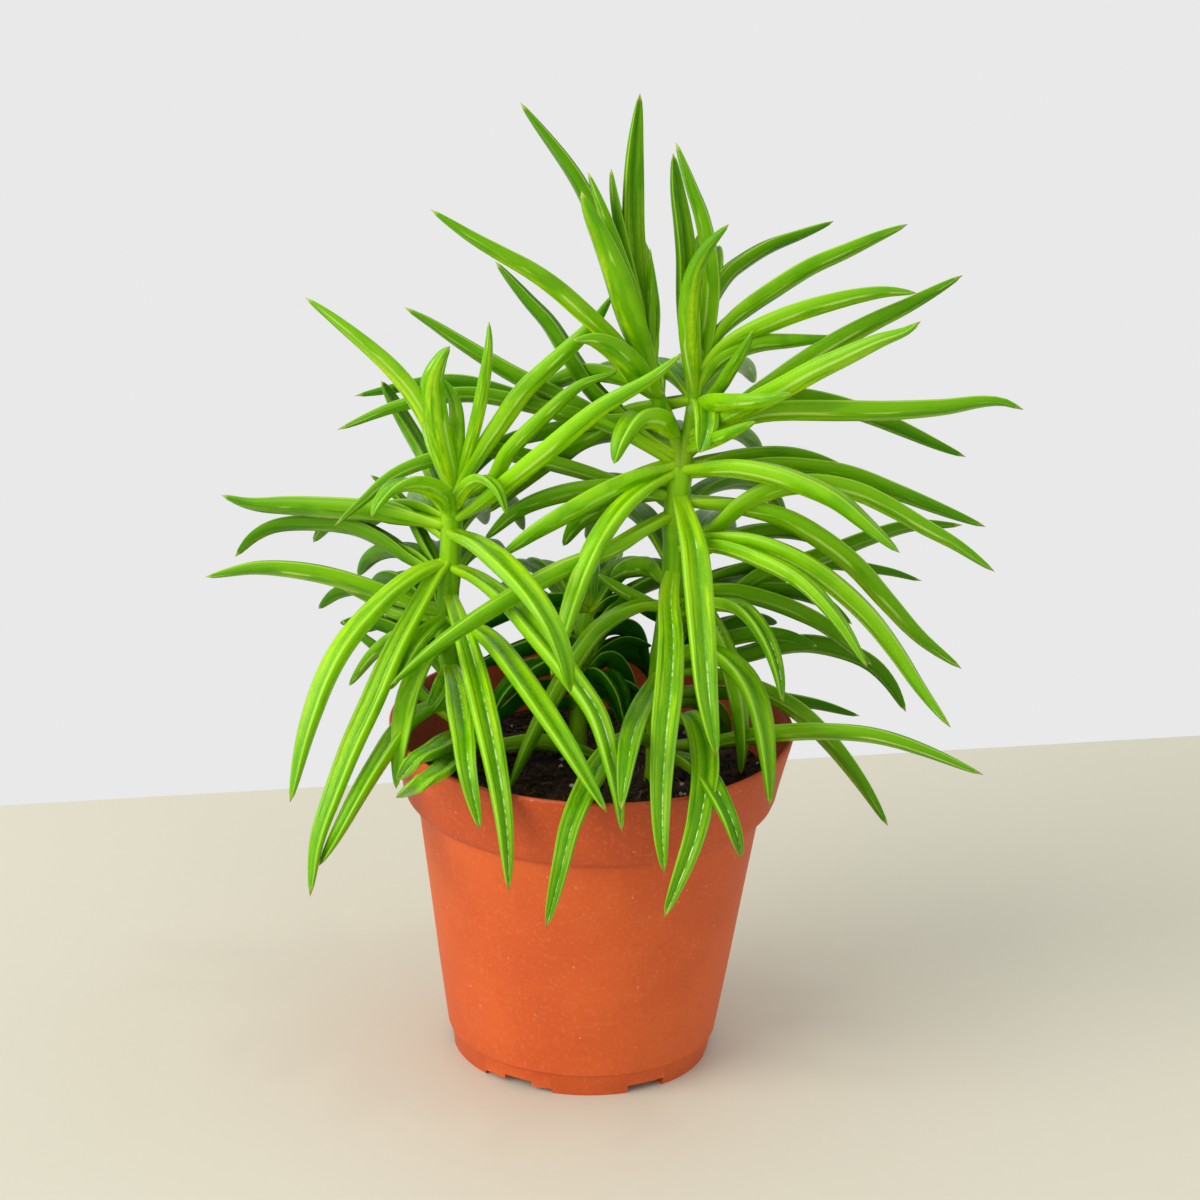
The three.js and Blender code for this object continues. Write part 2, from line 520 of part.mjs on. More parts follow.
const group = new THREE.Group();
group.add(named('pot', potBody(), FINISHES.pot));
group.add(named('soil', soilBody([STEMS.tall, STEMS.left, STEMS.middle]), FINISHES.soil));
group.add(named('tall_stem', leafyStem(['tall', 'tall_right', 'tall_left']), FINISHES.leaf));
group.add(named('left_stem', leafyStem(['left']), FINISHES.leaf));
group.add(named('middle_stem', leafyStem(['middle']), FINISHES.leaf));

export default group;
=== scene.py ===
"""A potted peperomia in a nursery pot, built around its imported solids.

+Z is up and the front of the plant faces -Y. Tables and paths are in millimetres and turned to metres by MM.
Meshes, finishes, lights and the floor are in metres.
"""

import math
import random

import bpy
import numpy as np
from mathutils import Matrix, Vector


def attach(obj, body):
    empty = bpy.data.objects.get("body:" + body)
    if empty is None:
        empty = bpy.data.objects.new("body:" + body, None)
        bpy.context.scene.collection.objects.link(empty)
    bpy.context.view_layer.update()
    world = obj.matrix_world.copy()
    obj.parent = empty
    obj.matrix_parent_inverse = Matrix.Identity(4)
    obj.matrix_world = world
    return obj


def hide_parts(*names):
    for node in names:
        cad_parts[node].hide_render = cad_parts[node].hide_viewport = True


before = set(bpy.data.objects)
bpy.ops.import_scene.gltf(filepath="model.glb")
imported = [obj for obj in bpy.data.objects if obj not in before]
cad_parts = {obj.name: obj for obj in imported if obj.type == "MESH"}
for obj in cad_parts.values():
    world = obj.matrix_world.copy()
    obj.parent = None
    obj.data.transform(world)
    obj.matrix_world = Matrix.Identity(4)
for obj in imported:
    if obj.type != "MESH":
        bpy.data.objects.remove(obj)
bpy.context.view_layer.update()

MM = 0.001
BODY = "root"

# ---- The front view: a square picture, 1200 pixels wide, of the plant from a little above ----
LOOK_AT = np.array([1.03, 0.0, 124.8])
EYE_DISTANCE = 1200.0
PITCH = math.radians(21.3)
TILT = math.radians(2.01)
FOCAL = 4685.0
PICTURE = 1200.0
SENSOR = 36.0

AHEAD = np.array([0.0, math.cos(PITCH), -math.sin(PITCH)])
LEVEL = np.array([1.0, 0.0, 0.0])
STEEP = np.array([0.0, math.sin(PITCH), math.cos(PITCH)])
ACROSS = math.cos(TILT) * LEVEL + math.sin(TILT) * STEEP
UPWARD = math.cos(TILT) * STEEP - math.sin(TILT) * LEVEL
EYE = LOOK_AT - AHEAD * EYE_DISTANCE


def sight(u, v):
    """The direction from the eye through picture pixel (u, v)."""
    return AHEAD * FOCAL + ACROSS * (u - PICTURE / 2) + UPWARD * (PICTURE / 2 - v)


def spot(u, v, depth):
    """The point, in millimetres, at picture pixel (u, v) on the upright plane at that depth."""
    ray = sight(u, v)
    return EYE + ray * ((depth - EYE[1]) / ray[1])


def floor_spot(u, v):
    """The point, in millimetres, at picture pixel (u, v) on the floor."""
    ray = sight(u, v)
    return EYE - ray * (EYE[2] / ray[2])


# Each plant: its piece, the solid it replaces, and its shoots, the rooted one first.
PLANTS = [
    ("tall_plant", "tall_stem", ["tall", "tall_right", "tall_left"]),
    ("left_plant", "left_stem", ["left"]),
    ("middle_plant", "middle_stem", ["middle"]),
]

# Each stem: its depth behind the pot's axis, its radius, and its path in view pixels from the soil up.
STEMS = {
    "tall": {"depth": 0, "radius": 3.4, "path": [659, 752, 661, 680, 674, 579, 677, 500, 683, 452]},
    "tall_right": {"depth": 0, "radius": 2.1, "path": [682, 464, 690, 430, 695, 400, 700, 345]},
    "tall_left": {"depth": 0, "radius": 1.9, "path": [682, 462, 676, 438, 666, 415, 656, 391, 650, 356]},
    "left": {"depth": 5, "radius": 2.9, "path": [462, 745, 455, 690, 448, 650, 447, 620, 451, 540, 453, 484]},
    "middle": {"depth": 20, "radius": 2.4, "path": [578, 728, 580, 690, 584, 640, 586, 606]},
}

# Each leaf: width, depth of the tip and bow of the depth half way, in millimetres (minus is to the front),
# then the midrib from the stem to the tip in view pixels.
LEAVES = {"tall": [
    # top whorl, to the left
    [6.6, 20, 0, 678, 452, 650, 436, 620, 412, 594, 388, 572, 356, 551, 323, 528, 298, 495, 261],
    [6.6, 16, 0, 680, 456, 630, 432, 580, 404, 526, 378, 495, 361, 462, 341, 430, 321, 404, 307],
    [5.8, 32, 0, 681, 458, 625, 432, 570, 415, 520, 396, 450, 380, 354, 396],
    [5.8, 15, 0, 680, 466, 610, 424, 540, 405, 470, 393, 402, 404, 337, 430],
    [6.0, 4, 8, 677, 500, 600, 475, 540, 458, 480, 447, 440, 455, 395, 473, 363, 500, 334, 526],
    [7.2, -10, 0, 677, 462, 640, 474, 604, 490, 568, 510, 532, 532, 499, 557],
    [6.6, 6, 0, 678, 478, 620, 484, 565, 491, 520, 508, 484, 540],
    [6.2, -27, 0, 677, 470, 648, 485, 624, 505, 604, 531, 588, 561, 575, 594, 563, 634, 551, 678],
    [7.0, 6, 0, 677, 494, 640, 492, 606, 503, 580, 520, 563, 546],
    [6.6, -30, 0, 676, 512, 645, 528, 608, 549, 562, 567, 518, 591, 468, 622, 430, 650, 389, 686],
    # top whorl, to the right
    [7.6, -24, 0, 681, 468, 733, 466, 770, 471, 806, 483, 838, 499, 868, 524, 900, 553],
    [6.4, 12, 0, 682, 466, 738, 455, 780, 452, 815, 458, 855, 473],
    [6.4, 4, 0, 680, 474, 760, 464, 810, 466, 850, 473, 893, 489, 935, 506, 986, 527],
    [6.8, -8, 0, 675, 540, 712, 528, 742, 503, 778, 486, 818, 482, 858, 490, 893, 507, 925, 526,
     958, 545, 995, 572],
    [7.2, -4, 0, 677, 500, 735, 504, 782, 515, 820, 536, 855, 564, 887, 600, 920, 636, 962, 669],
    [7.4, -26, 0, 675, 536, 733, 537, 770, 545, 808, 563, 842, 588, 872, 617, 898, 651, 922, 688,
     951, 728],
    [6.0, -34, 0, 675, 548, 722, 545, 768, 561, 802, 580, 828, 606, 848, 633, 868, 668],
    [6.6, -48, 0, 677, 490, 686, 518, 694, 550, 698, 590, 702, 640, 706, 690, 711, 725, 717, 757],
    # middle whorl
    [6.2, -60, 0, 674, 566, 669, 600, 671, 640, 669, 685, 664, 735, 661, 785, 661, 830, 664, 874],
    [6.6, 16, 0, 671, 604, 725, 595, 760, 573, 797, 561, 833, 549, 870, 535, 912, 524, 963, 525],
    [5.0, 22, 0, 673, 592, 730, 570, 800, 560, 880, 569, 922, 581],
    [6.6, 6, 0, 673, 588, 724, 588, 763, 596, 798, 609, 830, 627, 872, 665],
    [5.4, -30, 0, 670, 618, 702, 604, 733, 604, 753, 619, 769, 645, 778, 672, 783, 703],
    [6.4, -16, 0, 671, 608, 644, 604, 617, 614, 595, 630, 577, 654, 558, 685, 540, 719, 524, 753,
     508, 791],
    [7.4, 10, 0, 673, 586, 655, 566, 634, 566, 611, 578],
    [5.0, 4, 0, 671, 612, 625, 590, 598, 574],
    # low whorls
    [6.8, 20, 0, 665, 664, 735, 654, 770, 645, 805, 641, 840, 648, 868, 661, 889, 682, 906, 712],
    [6.4, -38, 0, 664, 664, 692, 650, 718, 654, 739, 670, 754, 694, 763, 726, 768, 766, 770, 806],
    [6.8, -14, 0, 672, 598, 698, 604, 716, 630, 731, 665, 740, 705, 743, 745, 741, 776],
    [6.4, 10, 0, 663, 668, 712, 672, 756, 686, 796, 708, 830, 741, 862, 783, 888, 826],
    [5.6, 22, 0, 661, 692, 720, 690, 775, 696, 818, 703, 860, 716],
    [5.6, -70, 0, 662, 672, 655, 685, 635, 725, 627, 760, 621, 810],
    [6.4, -26, 0, 660, 747, 718, 740, 776, 731, 828, 729, 877, 734, 925, 749, 984, 775],
    [6.2, -68, -6, 660, 732, 678, 716, 693, 720, 702, 740, 705, 772, 701, 806, 692, 844, 664, 918],
    [5.8, -54, -13, 659, 752, 686, 760, 704, 774, 720, 800, 733, 828, 742, 858],
    [5.8, -70, -13, 659, 748, 634, 736, 606, 757, 584, 794, 570, 828, 561, 866, 546, 928],
    [5.8, 18, 0, 661, 708, 690, 698, 716, 712, 728, 748],
], "tall_right": [
    [5.6, 14, 0, 694, 405, 690, 350, 687, 300, 686, 258, 682, 222, 677, 190, 673, 153],
    [6.4, 4, 0, 697, 408, 704, 365, 711, 320, 714, 284, 711, 250, 704, 217, 693, 187, 676, 142],
    [5.0, -8, 0, 697, 400, 691, 345, 690, 305, 695, 273, 708, 247, 729, 224],
    [5.6, 18, 0, 700, 350, 707, 308, 724, 276, 744, 259, 770, 244, 803, 232, 834, 221],
    [6.2, 8, 0, 700, 362, 718, 331, 745, 307, 777, 285, 810, 265, 845, 250, 877, 236, 908, 224],
    [6.2, -4, 0, 699, 370, 722, 346, 751, 330, 786, 315, 820, 304, 857, 295, 888, 291, 917, 293],
    [6.8, 2, 0, 692, 426, 732, 406, 767, 385, 802, 361, 838, 339, 874, 320, 910, 303, 963, 275],
    [6.8, -26, 0, 691, 434, 735, 412, 782, 388, 813, 371, 847, 355, 880, 340, 906, 331, 921, 321],
    [6.2, -22, 0, 694, 414, 712, 402, 742, 401, 770, 399, 792, 393],
    [7.4, -10, 0, 690, 440, 722, 424, 757, 412, 790, 408, 840, 408, 890, 408, 943, 405, 980, 400,
     1004, 401, 1024, 410],
    [6.4, 14, 0, 692, 424, 740, 400, 787, 394, 830, 401, 870, 414, 905, 429, 937, 444, 966, 457],
    [4.6, -18, 0, 688, 450, 722, 436, 756, 421],
    [3.6, -8, 0, 696, 402, 716, 392, 731, 370, 745, 348, 753, 330],
    [6.2, 0, 0, 697, 388, 714, 364, 735, 349, 760, 341, 790, 339, 812, 338, 831, 336],
    [3.0, -14, 0, 695, 408, 722, 406, 738, 412],
    [6.6, 6, 8, 695, 398, 640, 408, 600, 428, 560, 452, 520, 484, 486, 514],
    [6.0, -14, 0, 694, 418, 704, 405, 706, 425, 700, 453],
], "tall_left": [
    [6.2, 14, 0, 651, 370, 640, 330, 622, 280, 604, 230, 587, 193, 572, 168, 554, 144, 520, 102],
    [5.0, 2, 0, 650, 368, 638, 310, 622, 262, 608, 222, 597, 194, 588, 172],
    [7.2, -8, 0, 656, 388, 644, 356, 630, 318, 616, 275, 603, 242, 590, 214, 581, 191],
    [5.2, 6, 0, 651, 374, 646, 330, 634, 280, 624, 238, 616, 200, 611, 168],
    [5.4, 12, 0, 651, 374, 645, 330, 637, 280, 633, 232, 633, 190, 635, 145, 640, 93],
    [2.6, 0, 0, 651, 362, 651, 300, 650, 248],
    [6.0, -14, 0, 654, 384, 632, 358, 608, 334, 583, 311, 556, 287, 529, 268, 500, 252, 470, 235,
     430, 209],
    [7.4, -16, 0, 657, 394, 640, 380, 624, 358, 608, 345, 590, 338, 573, 340],
    [5.6, 16, 0, 664, 412, 575, 425, 500, 445, 453, 495],
    [7.4, -16, 0, 674, 434, 655, 418, 636, 418, 621, 440, 614, 464],
], "left": [
    # top whorl
    [5.6, -6, 0, 453, 492, 436, 440, 420, 405, 400, 377, 376, 353, 337, 321, 305, 297],
    [3.4, -2, 0, 454, 490, 466, 460, 477, 420, 485, 378, 489, 345, 489, 321],
    [6.4, -4, 0, 453, 490, 436, 430, 432, 385, 440, 360, 450, 346],
    [4.6, 4, 0, 453, 488, 456, 410, 441, 376],
    [6.4, -14, 0, 452, 520, 469, 510, 500, 488, 540, 456, 600, 407, 650, 378, 684, 352],
    [6.2, 2, 0, 453, 494, 476, 458, 499, 425, 524, 390, 549, 366, 574, 343, 596, 320, 613, 294],
    [5.0, -2, 0, 453, 500, 490, 482, 510, 450, 545, 415, 580, 385, 618, 372],
    [4.2, -10, 0, 452, 515, 466, 488, 482, 478, 498, 490, 507, 515],
    [6.0, -24, 0, 452, 516, 435, 490, 412, 482, 392, 488, 378, 503, 371, 517],
    [5.4, 24, 8, 451, 518, 430, 465, 413, 435, 397, 408, 381, 381],
    [4.0, 26, 0, 450, 578, 432, 555, 405, 505, 385, 485, 370, 475],
    # middle whorls, to the left
    [7.8, 28, 0, 449, 524, 420, 517, 393, 512, 373, 508, 300, 504, 255, 503, 221, 495],
    [6.2, 34, 0, 449, 576, 412, 557, 384, 538, 355, 525, 317, 521, 280, 524, 255, 536, 235, 557],
    [6.8, 10, 0, 448, 612, 415, 602, 366, 584, 312, 570, 256, 566, 205, 577],
    [6.6, -30, 0, 450, 562, 425, 569, 400, 585, 372, 611, 345, 643, 326, 677, 311, 717, 301, 752,
     290, 803],
    [6.4, -36, 0, 450, 556, 436, 574, 416, 610, 394, 652, 373, 700, 352, 746, 334, 792, 317, 842,
     310, 897],
    [5.0, -16, 0, 447, 616, 428, 630, 411, 650, 390, 690],
    [4.4, 16, 0, 448, 618, 400, 613, 372, 598, 335, 583],
    [4.4, 22, 0, 447, 606, 400, 616, 363, 632],
    [4.4, 12, 0, 447, 634, 405, 632, 375, 652, 349, 686],
    # middle whorls, to the front and right
    [6.8, -48, -14, 451, 532, 478, 544, 506, 567, 532, 596, 552, 627, 565, 660, 571, 692],
    [6.4, -58, 0, 450, 566, 478, 578, 508, 602, 540, 638, 570, 676, 596, 714, 610, 758, 618, 798,
     622, 833],
    [6.2, -62, 0, 447, 617, 470, 626, 500, 650, 560, 735, 607, 813],
    [6.0, -58, -4, 449, 592, 464, 636, 479, 692, 493, 756, 504, 822, 509, 891],
    # low whorls
    [5.8, -54, -8, 450, 664, 457, 692, 463, 735, 467, 772, 480, 830],
    [4.6, -8, 0, 451, 664, 444, 684, 436, 700, 426, 716],
    [5.2, -26, 0, 448, 642, 426, 658, 409, 694, 400, 742, 396, 789],
    [5.8, -34, -6, 456, 704, 430, 707, 402, 727, 378, 762, 357, 797, 338, 832, 319, 866],
    [5.6, -48, -25, 460, 746, 444, 768, 422, 782, 396, 798],
    [6.0, -40, -15, 459, 732, 438, 748, 416, 759, 397, 781],
    [4.6, 18, 0, 458, 724, 430, 700, 395, 662, 366, 638, 341, 620],
    [6.6, 6, 0, 461, 742, 500, 744, 545, 740, 608, 758],
], "middle": [
    [6.6, 10, 0, 585, 640, 545, 640, 500, 655, 472, 668],
    [4.4, 30, 0, 585, 660, 620, 640, 652, 646],
    [4.4, 12, 0, 582, 690, 620, 682, 648, 696],
    [6.4, -8, 0, 584, 660, 540, 665, 505, 690, 488, 722],
    [6.0, 12, 0, 583, 690, 540, 685, 506, 708, 486, 728],
    [6.0, 14, 0, 586, 610, 560, 598, 525, 604, 496, 618, 474, 634],
    [5.6, 30, 0, 586, 612, 610, 600, 636, 602, 660, 622],
    [6.4, 36, 0, 584, 650, 606, 626, 630, 630, 646, 668],
    [6.4, 4, 0, 584, 672, 550, 664, 516, 678, 490, 706],
    [6.0, 36, 0, 582, 680, 556, 664, 528, 668, 504, 688],
    [6.2, 4, 0, 583, 682, 604, 674, 620, 694, 626, 726],
    [6.0, 40, 0, 583, 676, 612, 652, 640, 658, 660, 688],
    [5.8, 20, 0, 581, 708, 560, 700, 546, 712, 540, 734],
    [6.0, 24, 0, 583, 672, 606, 656, 622, 672, 632, 706],
    [5.6, 20, 0, 582, 700, 604, 690, 618, 704, 626, 732],
]}

# Whorls of rear leaves, mostly hidden from the front: height on the stem, middle heading and spread of the
# whorl (degrees from +X, so 90 is straight back), leaf length, and the slopes a leaf starts and ends with.
REAR_WHORLS = {"tall": [
    (101, 40, 60, 48, 62, -30),
    (117, 48, 60, 58, 44, -50),
    (134, 70, 86, 64, 36, -60),
    (150, 90, 76, 58, 24, -62),
    (164, 98, 76, 50, 22, -58),
], "tall_right": [
    (180, 92, 52, 42, 28, -50),
    (192, 86, 24, 34, 66, 24),
], "tall_left": [
    (180, 116, 44, 40, 26, -54),
    (190, 116, 28, 34, 66, 30),
], "left": [
    (98, 128, 44, 42, 58, -30),
    (112, 122, 50, 52, 46, -54),
    (127, 100, 60, 48, 28, -60),
    (138, 104, 70, 54, 26, -58),
    (144, 106, 52, 42, 6, -50),
], "middle": [
    (97, 90, 70, 38, 62, -20),
    (106, 80, 90, 44, 56, -34),
    (112, 95, 70, 32, 50, -24),
]}
REAR_LEAVES = 3
REAR_STEPS = 5
# Each whorl is turned at random by up to half of REAR_TURN degrees to either side.
REAR_TURN = 10.0
REAR_STRETCH = (0.88, 1.08)
REAR_WIDTH = (5.4, 6.8)
SEED = 11

# ---- Pot, in millimetres ----
# The pot's radius and height, from the middle of its underside out, up, over the rim and down inside.
POT_PROFILE = [
    (18.0, 0.0), (19.5, 3.2), (31.1, 3.2), (31.1, 0.0), (33.5, 0.0), (33.75, 0.3),
    (34.35, 5.7), (34.75, 6.2), (35.3, 6.5), (38.0, 24.0), (41.3, 47.0), (44.55, 68.9),
    (44.9, 69.9), (45.7, 70.4), (46.9, 71.0), (47.9, 72.2), (48.6, 74.0), (49.1, 76.5),
    (50.6, 83.0), (52.2, 89.3), (52.4, 90.2), (52.0, 90.7), (51.3, 90.7), (50.9, 90.2),
    (50.5, 88.5), (47.1, 73.0), (46.2, 71.9), (43.3, 71.0), (43.0, 69.5), (38.6, 40.0),
    (32.6, 6.4), (31.4, 5.0), (12.0, 4.7),
]
# Heights in metres between which the body's colour turns to the band's.
POT_BAND_FROM = (0.0690, 0.0715)
POT_SIDES = 160
POT_CREASE = 35
# Foot notches: heading in degrees from the front, width and height. The set is repeated round the foot.
NOTCHES = [(-29.0, 20.0, 1.3), (-28.0, 8.0, 2.6), (31.0, 10.8, 2.2)]
NOTCH_TURNS = 3
NOTCH_REACH = 12.0
NOTCH_SOFTNESS = 0.4
FOOT_RADIUS = 33.7

# ---- Soil, in millimetres ----
SOIL_LEVEL = 75.2
SOIL_EDGE = 47.1
SOIL_SKIRT = [(30.0, 66.0), (42.2, 66.4), (42.8, 71.2), (45.7, 72.6), (46.8, 74.0)]
SOIL_SIDES = 200
SOIL_RINGS = 56
SOIL_CREASE = 50
# The relief grows to its full height over this breadth, from this share of it at the edge.
SOIL_EASE = 1.5
SOIL_EDGE_SHARE = 0.25
# Relief of the peat: name, grain size in metres, detail and height in metres.
SOIL_RELIEF = [("clods", 0.011, 2, 0.0034), ("lumps", 0.0040, 3, 0.0030)]

# What lies on the soil: how many, their sizes, how far a grain's middle stands above the soil as a share of
# its size, and how flat a grain is.
CRUMBS = {"count": 1400, "sizes": (0.30, 1.2), "lift": 0.25, "flatten": (0.6, 1.0)}
PERLITE = {"count": 40, "sizes": (0.30, 0.85), "lift": 0.35, "flatten": (0.6, 1.0)}
FIBRES = {"count": 70, "sizes": (1.2, 3.6), "lift": 0.12, "flatten": (0.9, 1.0)}
GRAIN_SHAPES = 4
GRAIN_BREADTH = (0.7, 1.0)
# Random turn and lean of a grain, in radians.
GRAIN_TURN = 6.3
GRAIN_LEAN = 0.5
# Grains lie out to this share of the soil's radius, and come down from this height in metres.
SCATTER_REACH = 0.985
SCATTER_FROM = 0.12

# ---- Leaf form ----
# Half a leaf's section as shares of its width, across and up: from the edge over to the trough, then from the
# edge beneath to the keel.
HALF_TOP = [
    (0.500, 0.070), (0.484, 0.150), (0.435, 0.205), (0.350, 0.212), (0.240, 0.165),
    (0.130, 0.098), (0.040, 0.055),
]
HALF_UNDER = [(0.488, -0.015), (0.435, -0.130), (0.260, -0.300)]
KEEL = (0.0, -0.390)
LEAF_RINGS = 34
LEAF_FULLNESS = 1.16
STALK_WIDTH = 0.50
STALK_HEIGHT = 0.75
STALK_SHARE = 0.16
WIDEST_AT = 0.42
POINT_POWER = 0.60
REACH_POWER = 1.6
PATH_POINTS = 120
PATH_FINENESS = 40
# A leaf rolls at random by up to LEAF_ROLL degrees. One that grows sideways turns its top side to the back by
# up to TIP_BACK degrees, over the first TIP_BACK_FROM of its length.
LEAF_ROLL = 9.0
TIP_BACK = 24.0
TIP_BACK_FROM = 0.25
LEAF_WAVE = 0.025
WAVE_PACE = (8, 15)
WAVE_START = (0, 6)

# ---- Leaf darkness, 0 young and pale to 1 dark, from age low on the plant and from painted shade deep at its back ----
TONE_SPREAD = 0.10
LOW_AGE = 0.40
OLD_HEIGHT = 80.0
YOUNG_HEIGHT = 190.0
# Painted shade at the back of the plant: the most it darkens a leaf, the depth of the tip where it starts,
# and the depth over which it grows to full.
BACK_SHADE = 0.55
SHADE_START_DEPTH = -20.0
DEEP_SPAN = 50.0
# Darkness added to each shoot's leaves; the middle shoot, low among the others, gets painted shade.
SHOOT_DARKNESS = {"tall": 0.0, "tall_right": 0.12, "tall_left": 0.18, "left": -0.20, "middle": 0.50}
# Rear leaves are darkened with painted shade as if their tips lay this deep.
REAR_DEPTH = 20.0

# ---- Stem form: radii are shares of the stem's own, heights and spacing are in millimetres ----
STEM_SIDES = 20
STEM_RINGS = 80
STEM_KNOT = 0.07
STEM_KNOT_SPACING = 17.0
KNOT_SHARPNESS = 6
STEM_FOOT = 1.02
STEM_TOP = 0.96
TOP_SHARE = 0.07
DOME_END = 0.0004
FLARE = 0.30
FLARE_SHARE = 0.16
ROOT_FOOT = 59.5
ROOT_TOP = 71.5

# ---- Distances in metres under which two points are one, or lie in one place ----
MERGE_DISTANCE = 1e-6
NEAR = 1e-5

# ---- Studio, in metres ----
FLOOR_SIZE = 5.0
FLOOR_THICKNESS = 0.03
FLOOR_EDGE = 0.002
# Picture rows where the floor's far edge meets the left and right sides of the picture.
FLOOR_LINE = (803, 733)
# Each light: place, target, breadth, power and colour.
LIGHTS = {
    "key_light": ((-2.0, -1.4, 1.4), (0, 0, 0.12), 2.3, 62.0, (1.0, 0.985, 0.96)),
    "top_light": ((0.30, -0.2, 2.0), (0, 0, 0.15), 0.20, 1.8, (1.0, 1.0, 1.0)),
}
ROOM_LIGHT = 0.98
ROOM_COLOUR = (240, 241, 244)
WALL_COLOUR = (233, 233, 234)

# ---- Colours as screen values, 0 to 255 ----
POT_BODY = ((197, 80, 26), (208, 90, 32))
POT_BAND = ((182, 70, 21), (192, 78, 27))
PEAT = ((30, 21, 16), (84, 60, 44))
# Greens of a pale young leaf and a dark one, old or in painted shade: its body, the painted highlight on its
# lit flanks and keel, its trough and lines, and its far end.
LEAF_GREENS = [
    ((142, 206, 6), (30, 92, 0)), ((206, 240, 24), (98, 152, 4)),
    ((66, 142, 2), (18, 74, 0)), ((62, 146, 4), (24, 84, 0)),
]
LEAF_RIM = (182, 224, 64)
# Painted highlight: the white glint in dashes beside a leaf's trough.
PAINTED_GLINT = (222, 244, 176)
# Painted sheen along the flanks beneath a leaf.
PAINTED_SHEEN = (220, 244, 130)
LEAF_STALK = (168, 210, 24)
LEAF_POINT = (196, 192, 84)
# How far red, green and blue light spread inside a leaf or stem, as shares.
SAP_GLOW = (0.7, 1.0, 0.05)


# ---- Small modelling helpers ----
def edit(on):
    bpy.ops.object.mode_set(mode="EDIT" if on else "OBJECT")


def deselect():
    bpy.ops.object.select_all(action="DESELECT")


def make_active(piece):
    deselect()
    piece.select_set(True)
    bpy.context.view_layer.objects.active = piece


def apply_modifier(piece, kind, name, **settings):
    modifier = piece.modifiers.new(name, kind)
    for key, value in settings.items():
        setattr(modifier, key, value)
    make_active(piece)
    bpy.ops.object.modifier_apply(modifier=modifier.name)


def settle(piece):
    """The piece's place goes into its mesh, and its object stands at the origin."""
    make_active(piece)
    bpy.ops.object.transform_apply(location=True, rotation=True, scale=True)


def joined(pieces, name):
    make_active(pieces[0])
    for piece in pieces[1:]:
        piece.select_set(True)
    bpy.ops.object.join()
    pieces[0].name = name
    pieces[0].data.name = name
    return pieces[0]


def raise_ring(rise):
    bpy.ops.mesh.extrude_edges_move(TRANSFORM_OT_translate={"value": (0, 0, rise)})


def close_ring():
    raise_ring(0)
    bpy.ops.mesh.merge(type="CENTER")


def close_mesh():
    """In edit mode: doubled points are merged, then every face is turned outwards."""
    bpy.ops.mesh.select_all(action="SELECT")
    bpy.ops.mesh.remove_doubles(threshold=MERGE_DISTANCE)
    bpy.ops.mesh.normals_make_consistent(inside=False)
    edit(False)


def turned(profile, sides, name):
    """A round form: a ring is raised and widened along the profile, and both ends close on the axis."""
    deselect()
    radius, height = profile[0]
    bpy.ops.mesh.primitive_circle_add(
        vertices=sides, radius=radius * MM, fill_type="NOTHING", location=(0, 0, height * MM)
    )
    piece = bpy.context.object
    settle(piece)
    edit(True)
    bpy.ops.mesh.select_all(action="SELECT")
    for next_radius, next_height in profile[1:]:
        raise_ring((next_height - height) * MM)
        share = next_radius / radius
        bpy.ops.transform.resize(value=(share, share, 1), center_override=(0, 0, 0))
        radius, height = next_radius, next_height
    close_ring()
    edit(False)
    first_radius, first_height = profile[0][0] * MM, profile[0][1] * MM
    for vertex in piece.data.vertices:
        away = math.hypot(vertex.co.x, vertex.co.y)
        vertex.select = abs(vertex.co.z - first_height) < NEAR and abs(away - first_radius) < NEAR
    edit(True)
    bpy.ops.mesh.select_mode(type="VERT")
    close_ring()
    close_mesh()
    piece.name = name
    return piece


def smooth(piece, degrees):
    make_active(piece)
    bpy.ops.object.shade_smooth_by_angle(angle=math.radians(degrees))


